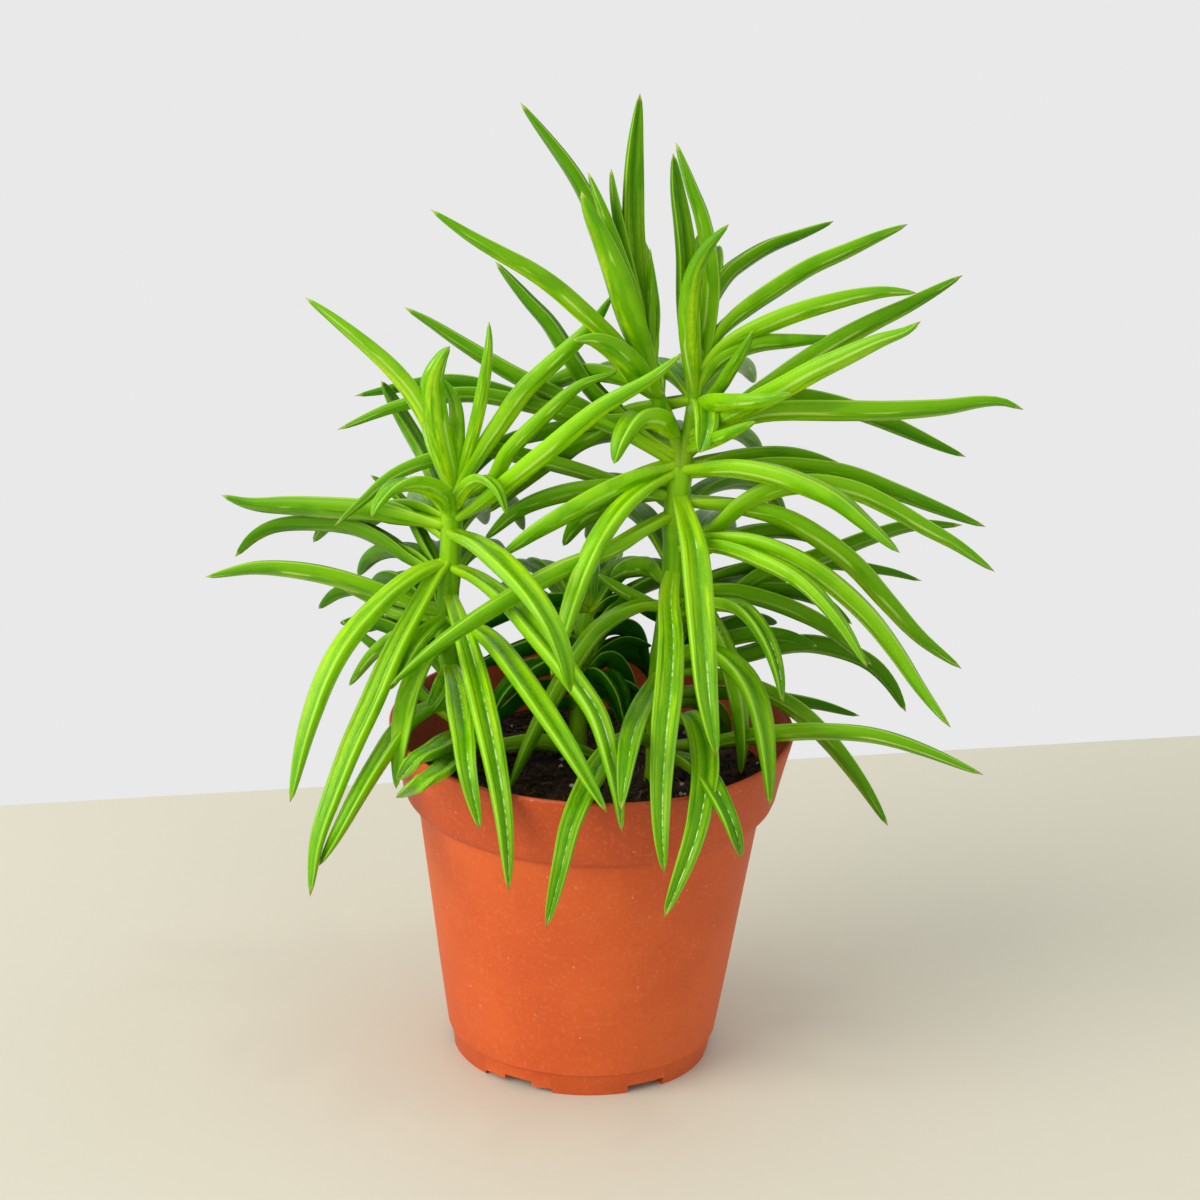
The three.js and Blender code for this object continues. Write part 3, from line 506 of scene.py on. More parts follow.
# ---- Materials ----
class Finish:
    """A node material built up step by step. A value is a number or the socket of an earlier step."""

    def __init__(self, name):
        self.material = bpy.data.materials.new(name)
        self.material.use_nodes = True
        self.nodes = self.material.node_tree.nodes
        self.links = self.material.node_tree.links
        self.shader = self.nodes["Principled BSDF"]

    def node(self, kind, **inputs):
        made = self.nodes.new(kind)
        for key, value in inputs.items():
            self.put(made.inputs[key.replace("_", " ")], value)
        return made

    def put(self, socket, value):
        if isinstance(value, bpy.types.NodeSocket):
            self.links.new(value, socket)
        else:
            socket.default_value = value

    def place(self):
        return self.node("ShaderNodeTexCoord").outputs["Object"]

    def attribute(self, name):
        made = self.node("ShaderNodeAttribute")
        made.attribute_name = name
        return made.outputs["Fac"]

    def noise(self, vector, scale, detail=3.0, roughness=0.5):
        made = self.node(
            "ShaderNodeTexNoise", Vector=vector, Scale=scale, Detail=detail, Roughness=roughness
        )
        return made.outputs["Fac"]

    def grain(self, detail, *parts):
        """Noise over three values, each given with how fast the noise changes along it."""
        return self.noise(self.vector(*(self.times(value, pace) for value, pace in parts)), 1.0, detail)

    def math(self, operation, a, b=0.0):
        made = self.node("ShaderNodeMath")
        made.operation = operation
        self.put(made.inputs[0], a)
        self.put(made.inputs[1], b)
        return made.outputs[0]

    def times(self, first, *others):
        for other in others:
            first = self.math("MULTIPLY", first, other)
        return first

    def plus(self, first, *others):
        for other in others:
            first = self.math("ADD", first, other)
        return first

    def rest(self, value):
        """What the value leaves of 1."""
        return self.math("SUBTRACT", 1.0, value)

    def step(self, value, low, high):
        """0 below low, 1 above high, smooth between them."""
        made = self.node("ShaderNodeMapRange")
        made.interpolation_type = "SMOOTHSTEP"
        self.put(made.inputs["Value"], value)
        self.put(made.inputs["From Min"], low)
        self.put(made.inputs["From Max"], high)
        return made.outputs["Result"]

    def fall(self, value, low, high):
        """1 below low, 0 above high, smooth between them."""
        return self.rest(self.step(value, low, high))

    def strip(self, value, start, full, fading, end):
        """1 from full to fading, 0 before start and past end, smooth between them."""
        return self.times(self.step(value, start, full), self.fall(value, fading, end))

    def mix(self, share, a, b):
        made = self.node("ShaderNodeMix")
        made.data_type = "RGBA"
        self.put(made.inputs["Factor"], share)
        self.put(made.inputs[6], a)
        self.put(made.inputs[7], b)
        return made.outputs[2]

    def laid(self, colour, share, strength, tint):
        """The colour with a tint laid over it, by share and strength together."""
        return self.mix(self.times(share, strength), colour, tint)

    def vector(self, x, y, z):
        made = self.node("ShaderNodeCombineXYZ")
        for socket, value in zip(made.inputs, (x, y, z)):
            self.put(socket, value)
        return made.outputs[0]

    def split(self, vector):
        return self.node("ShaderNodeSeparateXYZ", Vector=vector).outputs

    def bump(self, height, strength, distance, normal=None):
        made = self.node("ShaderNodeBump", Height=height, Strength=strength, Distance=distance)
        if normal is not None:
            self.put(made.inputs["Normal"], normal)
        return made.outputs["Normal"]

    def finish(self, **sockets):
        for key, value in sockets.items():
            self.put(self.shader.inputs[key.replace("_", " ")], value)
        return self.material


def rgb(red, green, blue):
    """A linear colour from the three channels of a screen colour, 0 to 255."""
    linear = []
    for channel in (red, green, blue):
        share = channel / 255
        linear.append(share / 12.92 if share <= 0.04045 else ((share + 0.055) / 1.055) ** 2.4)
    return (*linear, 1.0)


def pot_finish():
    f = Finish("terracotta_plastic")
    place = f.place()
    x, y, z = f.split(place)
    body = f.mix(f.step(f.noise(place, 26.0, 4.0), 0.36, 0.66), rgb(*POT_BODY[0]), rgb(*POT_BODY[1]))
    band = f.mix(f.step(f.noise(place, 30.0, 4.0), 0.36, 0.66), rgb(*POT_BAND[0]), rgb(*POT_BAND[1]))
    colour = f.mix(f.step(z, *POT_BAND_FROM), body, band)
    # Fine grain, darker blotches, pale specks and faint level hairlines.
    grain = f.noise(place, 900.0, 2.0)
    colour = f.laid(colour, f.step(grain, 0.50, 0.72), 0.22, rgb(230, 120, 70))
    colour = f.laid(colour, f.step(f.noise(place, 340.0, 3.0), 0.58, 0.74), 0.20, rgb(170, 66, 28))
    cells = f.node("ShaderNodeTexVoronoi", Vector=place, Scale=420.0)
    near = f.fall(cells.outputs["Distance"], 0.05, 0.20)
    chosen = f.step(f.split(cells.outputs["Color"])[0], 0.86, 0.92)
    colour = f.laid(colour, f.times(near, chosen), 0.38, rgb(240, 176, 140))
    hair = f.grain(3.0, (x, 90.0), (y, 90.0), (z, 620.0))
    colour = f.laid(colour, f.step(hair, 0.62, 0.72), 0.09, rgb(228, 132, 94))
    rough = f.plus(0.50, f.times(grain, 0.16))
    normal = f.bump(f.noise(place, 1500.0, 2.0), 0.16, 0.0003)
    normal = f.bump(f.noise(place, 60.0, 2.0), 0.10, 0.0016, normal)
    return f.finish(Base_Color=colour, Roughness=rough, Normal=normal, Specular_IOR_Level=0.38)


def soil_finish():
    f = Finish("damp_peat")
    place = f.place()
    colour = f.mix(f.step(f.noise(place, 210.0, 6.0, 0.7), 0.38, 0.66), rgb(*PEAT[0]), rgb(*PEAT[1]))
    colour = f.laid(colour, f.step(f.noise(place, 900.0, 3.0), 0.60, 0.74), 0.5, rgb(128, 98, 74))
    normal = f.bump(f.noise(place, 900.0, 5.0, 0.7), 0.8, 0.0010)
    rough = f.plus(0.62, f.times(f.noise(place, 300.0, 2.0), 0.40))
    return f.finish(Base_Color=colour, Roughness=rough, Normal=normal, Specular_IOR_Level=0.22)


def perlite_finish():
    f = Finish("perlite")
    place = f.place()
    colour = f.mix(f.step(f.noise(place, 700.0, 4.0), 0.42, 0.66), rgb(168, 164, 154), rgb(214, 211, 203))
    colour = f.laid(colour, f.step(f.noise(place, 260.0, 2.0), 0.55, 0.70), 0.55, rgb(112, 94, 78))
    normal = f.bump(f.noise(place, 1600.0, 3.0), 0.5, 0.0004)
    return f.finish(Base_Color=colour, Roughness=0.8, Normal=normal)


def fibre_finish():
    f = Finish("peat_fibre")
    colour = f.mix(f.noise(f.place(), 300.0, 2.0), rgb(92, 62, 40), rgb(150, 112, 76))
    return f.finish(Base_Color=colour, Roughness=0.85)


def leaf_finish():
    f = Finish("fleshy_leaf")
    place = f.place()
    names = ("along", "across", "under", "tone", "mark")
    along, across, under, tone, mark = (f.attribute(name) for name in names)
    aside = f.math("ABSOLUTE", across)
    above = f.rest(under)
    patches = f.grain(3.0, (along, 5.0), (across, 2.2), (mark, 40.0))
    cells = f.noise(place, 700.0, 2.0)
    # Tone runs from pale to dark, for age and painted shade together.
    body, lit_green, trough, far = (f.mix(tone, rgb(*young), rgb(*old)) for young, old in LEAF_GREENS)
    # Painted highlight: a paler lit green on the flanks on top and along the keel beneath; a darker trough on
    # top.
    flank = f.fall(f.math("ABSOLUTE", f.plus(aside, -0.56)), 0.06, 0.38)
    top = f.laid(body, f.times(flank, f.step(patches, 0.36, 0.62)), 0.60, lit_green)
    hollow = f.times(f.fall(aside, 0.04, 0.30), f.step(along, 0.04, 0.26))
    top = f.laid(top, hollow, f.plus(0.25, f.times(mark, 0.45)), trough)
    keel = f.step(f.rest(aside), 0.30, 0.90)
    below = f.laid(body, keel, f.step(patches, 0.32, 0.62), lit_green)
    colour = f.mix(under, top, below)
    # Cells of plain body green, dull patches, dark lines along the blade and a darker far half.
    colour = f.laid(colour, f.step(cells, 0.46, 0.62), 0.40, body)
    colour = f.laid(colour, f.fall(patches, 0.34, 0.50), 0.40, trough)
    rule = f.step(f.math("SINE", f.plus(f.times(across, 10.0), f.times(patches, 1.6))), 0.45, 0.98)
    rule = f.times(rule, f.step(along, 0.05, 0.25))
    shown = f.times(f.step(mark, -0.20, 0.80), f.plus(0.62, f.times(under, -0.24)))
    colour = f.laid(colour, rule, shown, trough)
    colour = f.laid(colour, f.step(along, 0.30, 1.0), 0.50, far)
    # A pale rim, a painted highlight in broken dashes beside the trough, a painted soft sheen beneath, a pale
    # stalk and a straw point.
    colour = f.laid(colour, f.times(f.strip(aside, 0.84, 0.89, 0.94, 0.98), above), 0.50, rgb(*LEAF_RIM))
    dashes = f.grain(3.0, (along, 44.0), (across, 0.0), (mark, 50.0))
    # Painted highlight in dashes beside the trough, on pale leaves only.
    painted_glint = f.times(
        f.strip(across, 0.13, 0.16, 0.21, 0.25), above, f.step(patches, 0.40, 0.50),
        f.step(dashes, 0.44, 0.56), f.step(mark, 0.20, 0.50), f.fall(tone, 0.45, 0.75),
    )
    colour = f.laid(colour, painted_glint, 0.75, rgb(*PAINTED_GLINT))
    # Painted sheen on the flanks beneath, on pale leaves only.
    painted_sheen = f.times(
        f.strip(aside, 0.60, 0.70, 0.76, 0.86), under, f.step(patches, 0.46, 0.58), f.fall(tone, 0.40, 0.75)
    )
    colour = f.laid(colour, painted_sheen, 0.45, rgb(*PAINTED_SHEEN))
    colour = f.laid(colour, f.fall(along, 0.0, 0.22), 0.60, rgb(*LEAF_STALK))
    colour = f.laid(colour, f.step(along, 0.965, 0.995), 0.75, rgb(*LEAF_POINT))
    # Ridges along the blade, its dark lines sunk in, beads in the trough and a fine grain.
    ridges = f.grain(2.0, (along, 2.5), (across, 20.0), (tone, 1.0))
    beads = f.step(f.grain(2.0, (along, 46.0), (across, 9.0), (mark, 50.0)), 0.44, 0.64)
    wet = f.times(f.fall(aside, 0.30, 0.60), above, mark)
    normal = f.bump(ridges, 0.32, 0.0004)
    normal = f.bump(f.rest(rule), f.times(shown, 0.5), 0.0004, normal)
    normal = f.bump(f.times(beads, wet), 0.30, 0.0004, normal)
    normal = f.bump(cells, 0.10, 0.0003, normal)
    rough = f.plus(0.19, f.times(cells, 0.12), f.times(wet, -0.06), f.times(tone, 0.22))
    return f.finish(
        Base_Color=colour, Roughness=rough, Normal=normal,
        Specular_IOR_Level=f.plus(0.44, f.times(tone, -0.43)), Specular_Tint=(0.95, 1.0, 0.50, 1.0),
        Subsurface_Weight=0.06, Subsurface_Radius=SAP_GLOW, Subsurface_Scale=0.0008,
    )


def stem_finish():
    f = Finish("fleshy_stem")
    place = f.place()
    along = f.attribute("along")
    x, y, z = f.split(place)
    streak = f.grain(3.0, (x, 420.0), (y, 420.0), (z, 40.0))
    colour = f.mix(f.step(streak, 0.36, 0.68), rgb(100, 162, 6), rgb(138, 192, 16))
    colour = f.laid(colour, f.step(f.noise(place, 240.0, 3.0), 0.56, 0.70), 0.30, rgb(76, 138, 4))
    colour = f.laid(colour, f.fall(along, 0.15, 0.45), 0.35, rgb(136, 146, 34))
    normal = f.bump(streak, 0.18, 0.0006)
    rough = f.plus(0.32, f.times(f.noise(place, 200.0, 2.0), 0.18))
    return f.finish(
        Base_Color=colour, Roughness=rough, Normal=normal,
        Specular_IOR_Level=0.32, Specular_Tint=(0.95, 1.0, 0.45, 1.0),
        Subsurface_Weight=0.12, Subsurface_Radius=SAP_GLOW, Subsurface_Scale=0.001,
    )


def floor_finish():
    f = Finish("studio_floor")
    place = f.place()
    colour = f.mix(f.step(f.noise(place, 3.0, 3.0), 0.35, 0.65), rgb(205, 201, 180), rgb(208, 204, 184))
    colour = f.laid(colour, f.step(f.noise(place, 160.0, 3.0), 0.50, 0.75), 0.10, rgb(216, 210, 192))
    normal = f.bump(f.noise(place, 260.0, 3.0), 0.05, 0.0006)
    return f.finish(Base_Color=colour, Roughness=0.6, Normal=normal, Specular_IOR_Level=0.3)


# ---- Camera, floor and light ----
def set_camera():
    place = Matrix.Identity(4)
    for row in range(3):
        place[row][0], place[row][1], place[row][2] = ACROSS[row], UPWARD[row], -AHEAD[row]
        place[row][3] = EYE[row] * MM
    bpy.ops.object.camera_add()
    camera = bpy.context.object
    camera.name = "front_camera"
    camera.matrix_world = place
    camera.data.sensor_width = SENSOR
    camera.data.lens = FOCAL / PICTURE * SENSOR
    camera.data.clip_start = 0.05
    camera.data.clip_end = 60.0
    camera.data.dof.use_dof = False
    bpy.context.scene.camera = camera


def set_floor():
    """A table top whose far edge runs along the picture's floor line."""
    left, right = floor_spot(0, FLOOR_LINE[0]) * MM, floor_spot(PICTURE, FLOOR_LINE[1]) * MM
    along = (right - left) / np.linalg.norm(right - left)
    back = np.array([along[1], -along[0], 0.0])
    deselect()
    bpy.ops.mesh.primitive_cube_add(size=1.0)
    floor = bpy.context.object
    floor.name = "studio_floor"
    floor.scale = (2 * FLOOR_SIZE, FLOOR_SIZE, FLOOR_THICKNESS)
    floor.rotation_euler = (0, 0, math.atan2(along[1], along[0]))
    floor.location = Vector((left + right) / 2 + back * FLOOR_SIZE / 2) - Vector((0, 0, FLOOR_THICKNESS / 2))
    settle(floor)
    apply_modifier(floor, "BEVEL", "edge", width=FLOOR_EDGE, segments=2)
    floor.data.materials.append(floor_finish())


def soft_light(name, place, target, size, power, colour):
    bpy.ops.object.light_add(type="AREA", location=place)
    light = bpy.context.object
    light.name = name
    light.data.shape = "DISK"
    light.data.size = size
    light.data.energy = power
    light.data.color = colour
    light.rotation_euler = (Vector(target) - light.location).to_track_quat("-Z", "Y").to_euler()


def set_light():
    """Two lamps in a pale room. The camera sees the room as an even wall."""
    deselect()
    for name, settings in LIGHTS.items():
        soft_light(name, *settings)
    world = bpy.data.worlds.new("pale_studio")
    world.use_nodes = True
    tree = world.node_tree
    room = tree.nodes["Background"]
    room.inputs["Color"].default_value = rgb(*ROOM_COLOUR)
    room.inputs["Strength"].default_value = ROOM_LIGHT
    wall = tree.nodes.new("ShaderNodeBackground")
    wall.inputs["Color"].default_value = rgb(*WALL_COLOUR)
    seen = tree.nodes.new("ShaderNodeLightPath")
    blend = tree.nodes.new("ShaderNodeMixShader")
    tree.links.new(seen.outputs["Is Camera Ray"], blend.inputs[0])
    tree.links.new(room.outputs[0], blend.inputs[1])
    tree.links.new(wall.outputs[0], blend.inputs[2])
    tree.links.new(blend.outputs[0], tree.nodes["World Output"].inputs["Surface"])
    bpy.context.scene.world = world
    bpy.context.scene.view_settings.view_transform = "Standard"


# ---- Curves ----
def smooth_path(points, count):
    """Evenly spaced points on the smooth curve through the given ones, and its length."""
    points = np.array(points, float)
    spans = len(points) - 1
    dense = []
    for span in range(spans):
        here, there = points[span], points[span + 1]
        before = points[span - 1] if span > 0 else 2 * here - there
        after = points[span + 2] if span + 2 <= spans else 2 * there - here
        leave, arrive = (there - before) / 2, (after - here) / 2
        cubic = 2 * here - 2 * there + leave + arrive
        square = 3 * there - 3 * here - 2 * leave - arrive
        for i in range(PATH_FINENESS if span < spans - 1 else PATH_FINENESS + 1):
            w = i / PATH_FINENESS
            dense.append(here + leave * w + square * w * w + cubic * w ** 3)
    dense = np.array(dense)
    reached = np.concatenate([[0], np.cumsum(np.linalg.norm(np.diff(dense, axis=0), axis=1))])
    wanted = np.linspace(0, reached[-1], count)
    return np.stack([np.interp(wanted, reached, dense[:, k]) for k in range(3)], 1), reached[-1]


def pairs(flat):
    return [(flat[i], flat[i + 1]) for i in range(0, len(flat), 2)]


def stem_points(stem):
    return [spot(u, v, stem["depth"]) for u, v in pairs(stem["path"])]


def plotted_midrib(stem, tip_depth, bow, path):
    """A leaf's midrib: its depth eases from the stem's to the tip's along the plotted path."""
    pixels = np.array(pairs(path), float)
    reached = np.concatenate([[0], np.cumsum(np.linalg.norm(np.diff(pixels, axis=0), axis=1))])
    share = reached / reached[-1]
    reach = 1 - (1 - share) ** REACH_POWER
    depth = stem["depth"] + (tip_depth - stem["depth"]) * reach + bow * 4 * share * (1 - share)
    return [spot(u, v, d) for (u, v), d in zip(pixels, depth)]


def rear_midrib(start, heading, length, rise, droop):
    """A rear leaf's midrib: it rises from the stem and bends down evenly to its tip."""
    points = [np.array(start, float)]
    for i in range(REAR_STEPS):
        slope = math.radians(rise + (droop - rise) * (i + 0.5) / REAR_STEPS)
        flat = math.cos(slope)
        step = np.array([math.cos(heading) * flat, math.sin(heading) * flat, math.sin(slope)])
        points.append(points[-1] + step * length / REAR_STEPS)
    return points


def seeded(seed):
    """A small generator of numbers from 0 to 1."""
    multiplier, modulus = 16807, 2147483647
    state = seed
    while True:
        state = state * multiplier % modulus
        yield state / modulus


# ---- Leaves and stems ----
def leaf_width(t):
    """Width along the blade: a firm stalk, widest before the middle, and a drawn-out point."""
    t = np.clip(t, 0, 1)
    rise = STALK_WIDTH + (1 - STALK_WIDTH) * np.sin(np.clip(t / WIDEST_AT, 0, 1) * math.pi / 2)
    fall = np.clip(1 - ((t - WIDEST_AT) / (1 - WIDEST_AT)) ** 2, 0, 1) ** POINT_POWER
    return np.where(t < WIDEST_AT, rise, fall)


def keep_attribute(mesh, name, values):
    attribute = mesh.attributes.new(name, "FLOAT", "POINT")
    attribute.data.foreach_set("value", np.full(len(mesh.vertices), values, np.float32))


def points_of(mesh):
    co = np.zeros(len(mesh.vertices) * 3, np.float32)
    mesh.vertices.foreach_get("co", co)
    return co.reshape(-1, 3).astype(float)


def move_points(mesh, points):
    mesh.vertices.foreach_set("co", points.astype(np.float32).ravel())


def close_and_turn_out(piece):
    make_active(piece)
    edit(True)
    close_mesh()
    bpy.ops.object.shade_smooth()


def rod_blank(sides, rings, name):
    """A straight rod along X, a unit long and half a unit in radius, cut into rings."""
    deselect()
    bpy.ops.mesh.primitive_cylinder_add(
        vertices=sides, radius=0.5, depth=1.0, end_fill_type="TRIFAN",
        location=(0.5, 0, 0), rotation=(0, math.pi / 2, 0),
    )
    rod = bpy.context.object
    rod.name = name
    settle(rod)
    edit(True)
    for ring in range(1, rings):
        bpy.ops.mesh.select_all(action="SELECT")
        bpy.ops.mesh.bisect(plane_co=(ring / rings, 0, 0), plane_no=(1, 0, 0))
    edit(False)
    return rod


def leaf_blank():
    """A straight leaf along X, a unit long and a unit wide at most, that knows each point's place on it."""
    top = [(-x, y) for x, y in HALF_TOP] + HALF_TOP[::-1]
    section = top + HALF_UNDER + [KEEL] + [(-x, y) for x, y in HALF_UNDER[::-1]]
    blank = rod_blank(len(section), LEAF_RINGS, "leaf_blank")
    mesh = blank.data
    co = points_of(mesh)
    reach = np.hypot(co[:, 1], co[:, 2])
    turn = np.arctan2(co[:, 1], co[:, 2])
    start = turn[np.argmax(reach)]
    corner = np.round((turn - start) / (2 * math.pi / len(section))).astype(int) % len(section)
    on_axis = reach < 0.1
    aside = np.array([section[c][0] for c in corner])
    lift = np.array([section[c][1] for c in corner])
    along = co[:, 0]
    beneath = corner >= len(top)
    stalk = np.clip(1 - along / STALK_SHARE, 0, 1) ** 2
    side = np.where(beneath, -STALK_HEIGHT, STALK_HEIGHT)
    round_lift = side * np.sqrt(np.clip(0.25 - aside ** 2, 0, 1))
    lift = lift * (1 - stalk) + round_lift * stalk
    width = leaf_width(along)
    co[:, 1] = np.where(on_axis, 0, aside * width)
    co[:, 2] = np.where(on_axis, 0, lift * width)
    move_points(mesh, co)
    keep_attribute(mesh, "along", along)
    keep_attribute(mesh, "across", np.where(on_axis, 0, aside * 2))
    keep_attribute(mesh, "under", np.where(beneath, 1.0, 0.0))
    close_and_turn_out(blank)
    return blank


def laid_along(co, path, width, side, roll=0.0, tip=0.0):
    """A straight form bent along a path in millimetres, its Y across and its Z up from the path.

    It turns about the path, by roll evenly to its end and by tip near its foot.
    """
    tangent = np.gradient(path, axis=0)
    tangent /= np.linalg.norm(tangent, axis=1)[:, None]
    across = side - (tangent @ side)[:, None] * tangent
    across /= np.linalg.norm(across, axis=1)[:, None]
    above = np.cross(tangent, across)
    steps = np.linspace(0, 1, len(path))
    t = np.clip(co[:, 0], 0, 1)

    def at(values):
        return np.stack([np.interp(t, steps, values[:, k]) for k in range(3)], 1)

    angle = roll * t + tip * np.minimum(1, t / TIP_BACK_FROM)
    y = (co[:, 1] * np.cos(angle) - co[:, 2] * np.sin(angle)) * width
    z = (co[:, 1] * np.sin(angle) + co[:, 2] * np.cos(angle)) * width
    return at(path) + at(across) * y[:, None] + at(above) * z[:, None]


def copied(blank, name, points):
    """A copy of a blank with a mesh of its own, its points moved to new places in millimetres."""
    piece = blank.copy()
    piece.data = blank.data.copy()
    piece.name = name
    move_points(piece.data, points * MM)
    bpy.context.scene.collection.objects.link(piece)
    return piece


def grown_leaf(blank, midrib, width, leaf_darkness, chance):
    path = smooth_path(midrib, PATH_POINTS)[0]
    reach = path[-1] - path[0]
    side = np.array([-reach[1], reach[0], 0.0])
    side /= np.linalg.norm(side)
    co = points_of(blank.data)
    roll = math.radians(chance.uniform(-LEAF_ROLL, LEAF_ROLL))
    tip = -math.radians(TIP_BACK) * reach[0] / math.hypot(reach[0], reach[1])
    co[:, 1] *= 1 + LEAF_WAVE * np.sin(co[:, 0] * chance.uniform(*WAVE_PACE) + chance.uniform(*WAVE_START))
    leaf = copied(blank, "leaf", laid_along(co, path, LEAF_FULLNESS * width, side, roll, tip))
    tone = min(1.0, max(0.0, leaf_darkness + chance.uniform(-TONE_SPREAD, TONE_SPREAD)))
    keep_attribute(leaf.data, "tone", tone)
    keep_attribute(leaf.data, "mark", chance.random())
    return leaf


def darkness_of(base, tip_depth):
    """Leaves are older and darker low on the plant, and darker deep at its back with painted shade."""
    low = min(1.0, max(0.0, 1 - (base[2] - OLD_HEIGHT) / (YOUNG_HEIGHT - OLD_HEIGHT)))
    deep = min(1.0, max(0.0, (tip_depth - SHADE_START_DEPTH) / DEEP_SPAN))
    return LOW_AGE * low + BACK_SHADE * deep


def grown_stem(stem, root, blank):
    points = stem_points(stem)
    if root:
        foot = points[0]
        points = [np.array([foot[0], foot[1], z]) for z in (ROOT_FOOT, ROOT_TOP)] + points
    path, length = smooth_path(points, PATH_POINTS)
    co = points_of(blank.data)
    t = co[:, 0]
    wave = np.cos(t * length / STEM_KNOT_SPACING * 2 * math.pi)
    knots = 1 + STEM_KNOT * np.maximum(0, wave) ** KNOT_SHARPNESS
    taper = STEM_FOOT + (STEM_TOP - STEM_FOOT) * t
    domed = np.sqrt(np.clip(1 - np.clip((t - 1 + TOP_SHARE) / TOP_SHARE, 0, 1) ** 2, DOME_END, 1))
    flare = 1 if root else 1 + FLARE * np.clip(1 - t / FLARE_SHARE, 0, 1) ** 2
    co[:, 1:] *= (knots * taper * domed * flare)[:, None]
    piece = copied(blank, "stem", laid_along(co, path, 2 * stem["radius"], np.array([1.0, 0.0, 0.0])))
    keep_attribute(piece.data, "along", t)
    return piece


def axis_at(stem, height):
    path = smooth_path(stem_points(stem), PATH_POINTS)[0]
    return path[np.argmin(np.abs(path[:, 2] - height))]


def between(limits, share):
    return limits[0] + (limits[1] - limits[0]) * share


def leafy_plant(name, node, shoots, blanks, rear_chance, chance):
    leaf, rod = blanks
    pieces = []
    for shoot in shoots:
        stem = STEMS[shoot]
        pieces.append(grown_stem(stem, shoot == shoots[0], rod))
        for width, tip_depth, bow, *path in LEAVES[shoot]:
            midrib = plotted_midrib(stem, tip_depth, bow, path)
            # A leaf's darkness: age low on the plant, plus painted shade at the back and on the middle shoot.
            leaf_darkness = darkness_of(midrib[0], tip_depth) + SHOOT_DARKNESS[shoot]
            pieces.append(grown_leaf(leaf, midrib, width, leaf_darkness, chance))
        for height, heading, spread, length, rise, droop in REAR_WHORLS[shoot]:
            start = axis_at(stem, height)
            turn = (next(rear_chance) - 0.5) * REAR_TURN
            for i in range(REAR_LEAVES):
                angle = math.radians(heading + turn + spread * (i / (REAR_LEAVES - 1) - 0.5))
                reach = length * between(REAR_STRETCH, next(rear_chance))
                width = between(REAR_WIDTH, next(rear_chance))
                midrib = rear_midrib(start, angle, reach, rise, droop)
                # Rear leaves take painted shade for their depth.
                pieces.append(grown_leaf(leaf, midrib, width, darkness_of(start, REAR_DEPTH), chance))
    plant = joined(pieces, name)
    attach(plant, BODY)
    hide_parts(node)


# ---- Pot ----
def make_pot():
    pot = turned(POT_PROFILE, POT_SIDES, "nursery_pot")
    cutters = []
    for turn in range(NOTCH_TURNS):
        for angle, width, height in NOTCHES:
            deselect()
            bpy.ops.mesh.primitive_cube_add(size=1.0)
            cutter = bpy.context.object
            heading = math.radians(angle + 360 / NOTCH_TURNS * turn)
            cutter.scale = (width * MM, NOTCH_REACH * MM, 2 * height * MM)
            cutter.rotation_euler = (0, 0, heading)
            cutter.location = (math.sin(heading) * FOOT_RADIUS * MM, -math.cos(heading) * FOOT_RADIUS * MM, 0)
            settle(cutter)
            apply_modifier(cutter, "BEVEL", "soft_corner", width=NOTCH_SOFTNESS * MM, segments=2)
            cutters.append(cutter)
    for cutter in cutters:
        apply_modifier(pot, "BOOLEAN", "notch", operation="DIFFERENCE", solver="EXACT", object=cutter)
    drop(cutters)
    smooth(pot, POT_CREASE)
    pot.data.materials.append(pot_finish())
    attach(pot, BODY)
    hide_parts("pot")


# ---- Soil ----
def noise_texture(name, size, depth):
    texture = bpy.data.textures.new(name, "CLOUDS")
    texture.noise_scale = size
    texture.noise_depth = depth
    return texture


def make_soil():
    rings = [(SOIL_EDGE * (1 - i / SOIL_RINGS), SOIL_LEVEL) for i in range(SOIL_RINGS)]
    bed = turned(SOIL_SKIRT + rings, SOIL_SIDES, "soil_bed")
    top = bed.vertex_groups.new(name="top")
    for vertex in bed.data.vertices:
        inward = SOIL_EDGE * MM - math.hypot(vertex.co.x, vertex.co.y)
        if abs(vertex.co.z - SOIL_LEVEL * MM) < NEAR:
            top.add([vertex.index], min(1.0, inward / (SOIL_EASE * MM) + SOIL_EDGE_SHARE), "REPLACE")
    for name, size, depth, strength in SOIL_RELIEF:
        apply_modifier(
            bed, "DISPLACE", name, texture=noise_texture(name, size, depth), texture_coords="LOCAL",
            direction="Z", strength=strength, mid_level=0.5, vertex_group="top",
        )
    smooth(bed, SOIL_CREASE)
    bed.data.materials.append(soil_finish())
    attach(bed, BODY)
    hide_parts("soil")
    return bed


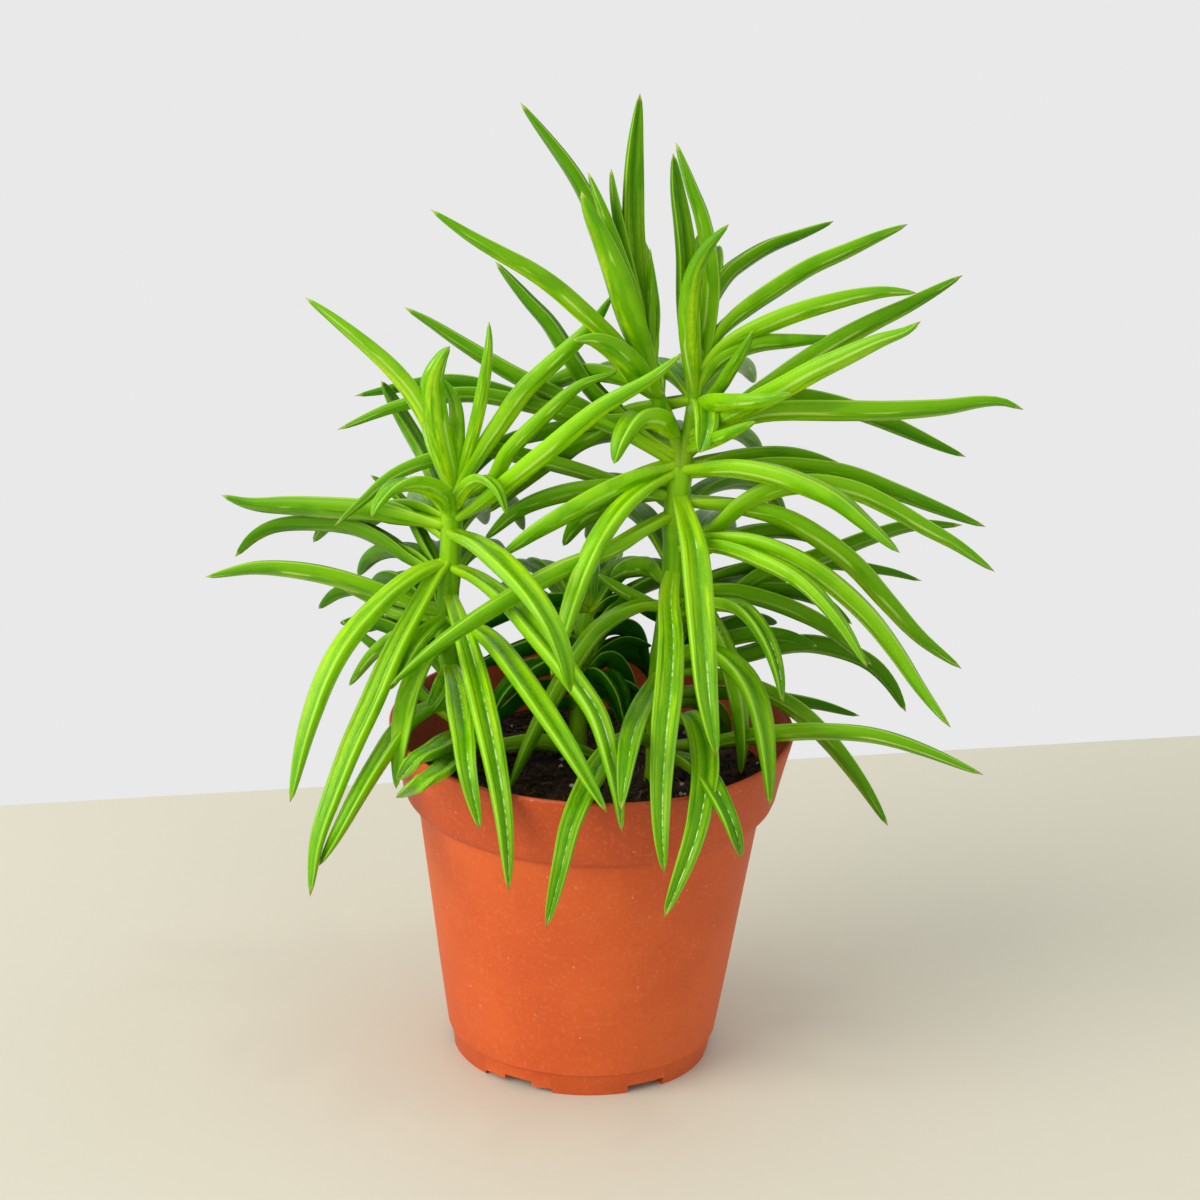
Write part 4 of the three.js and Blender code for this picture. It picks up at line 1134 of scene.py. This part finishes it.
def scattered(name, blanks, bed, finish, chance, count, sizes, lift, flatten):
    """Small grains lying on the soil, each a copy of one of the blanks."""
    pieces = []
    while len(pieces) < count:
        away = SOIL_EDGE * MM * math.sqrt(chance.random()) * SCATTER_REACH
        heading = chance.uniform(0, 2 * math.pi)
        x, y = away * math.cos(heading), away * math.sin(heading)
        hit, place = bed.ray_cast(Vector((x, y, SCATTER_FROM)), Vector((0, 0, -1)))[:2]
        size = chance.uniform(*sizes) * MM
        if not hit or away + size > SOIL_EDGE * MM:
            continue
        blank = chance.choice(blanks)
        turn = Matrix.Rotation(chance.uniform(0, GRAIN_TURN), 3, "Z")
        turn = turn @ Matrix.Rotation(chance.uniform(-GRAIN_LEAN, GRAIN_LEAN), 3, "X")
        shape = np.array(turn) @ np.diag([1.0, chance.uniform(*GRAIN_BREADTH), chance.uniform(*flatten)])
        points = points_of(blank.data) @ shape.T * size + np.array([x, y, place.z + size * lift])
        pieces.append(copied(blank, "grain", points / MM))
    piece = joined(pieces, name)
    piece.data.materials.clear()
    piece.data.materials.append(finish)
    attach(piece, BODY)


def grain_blanks(chance, detail, rough):
    """Balls with each point pushed in or out by up to the share rough."""
    blanks = []
    for i in range(GRAIN_SHAPES):
        deselect()
        bpy.ops.mesh.primitive_ico_sphere_add(subdivisions=detail, radius=1.0)
        blank = bpy.context.object
        co = points_of(blank.data)
        co *= np.array([[1 + chance.uniform(-rough, rough)] for _ in co])
        move_points(blank.data, co)
        blank.name = f"grain_blank_{i}"
        blanks.append(blank)
    return blanks


def fibre_blank():
    deselect()
    bpy.ops.mesh.primitive_cylinder_add(vertices=6, radius=0.07, depth=2.0, rotation=(0, math.pi / 2, 0.4))
    fibre = bpy.context.object
    settle(fibre)
    fibre.name = "fibre_blank"
    return fibre


def drop(pieces):
    for piece in pieces:
        bpy.data.objects.remove(piece)


def dress():
    set_camera()
    set_floor()
    set_light()
    make_pot()
    chance = random.Random(SEED)
    bed = make_soil()
    peat = soil_finish()
    crumbs = grain_blanks(chance, 1, 0.32)
    scattered("peat_crumbs", crumbs, bed, peat, chance, **CRUMBS)
    grains = grain_blanks(chance, 2, 0.22)
    scattered("perlite_grains", grains, bed, perlite_finish(), chance, **PERLITE)
    fibre = fibre_blank()
    scattered("peat_fibres", [fibre], bed, fibre_finish(), chance, **FIBRES)
    drop(crumbs + grains + [fibre])
    leaf, rod = leaf_blank(), rod_blank(STEM_SIDES, STEM_RINGS, "stem_blank")
    close_and_turn_out(rod)
    leaf.data.materials.append(leaf_finish())
    rod.data.materials.append(stem_finish())
    rear_chance = seeded(SEED)
    for name, node, shoots in PLANTS:
        leafy_plant(name, node, shoots, (leaf, rod), rear_chance, chance)
    drop([leaf, rod])


dress()
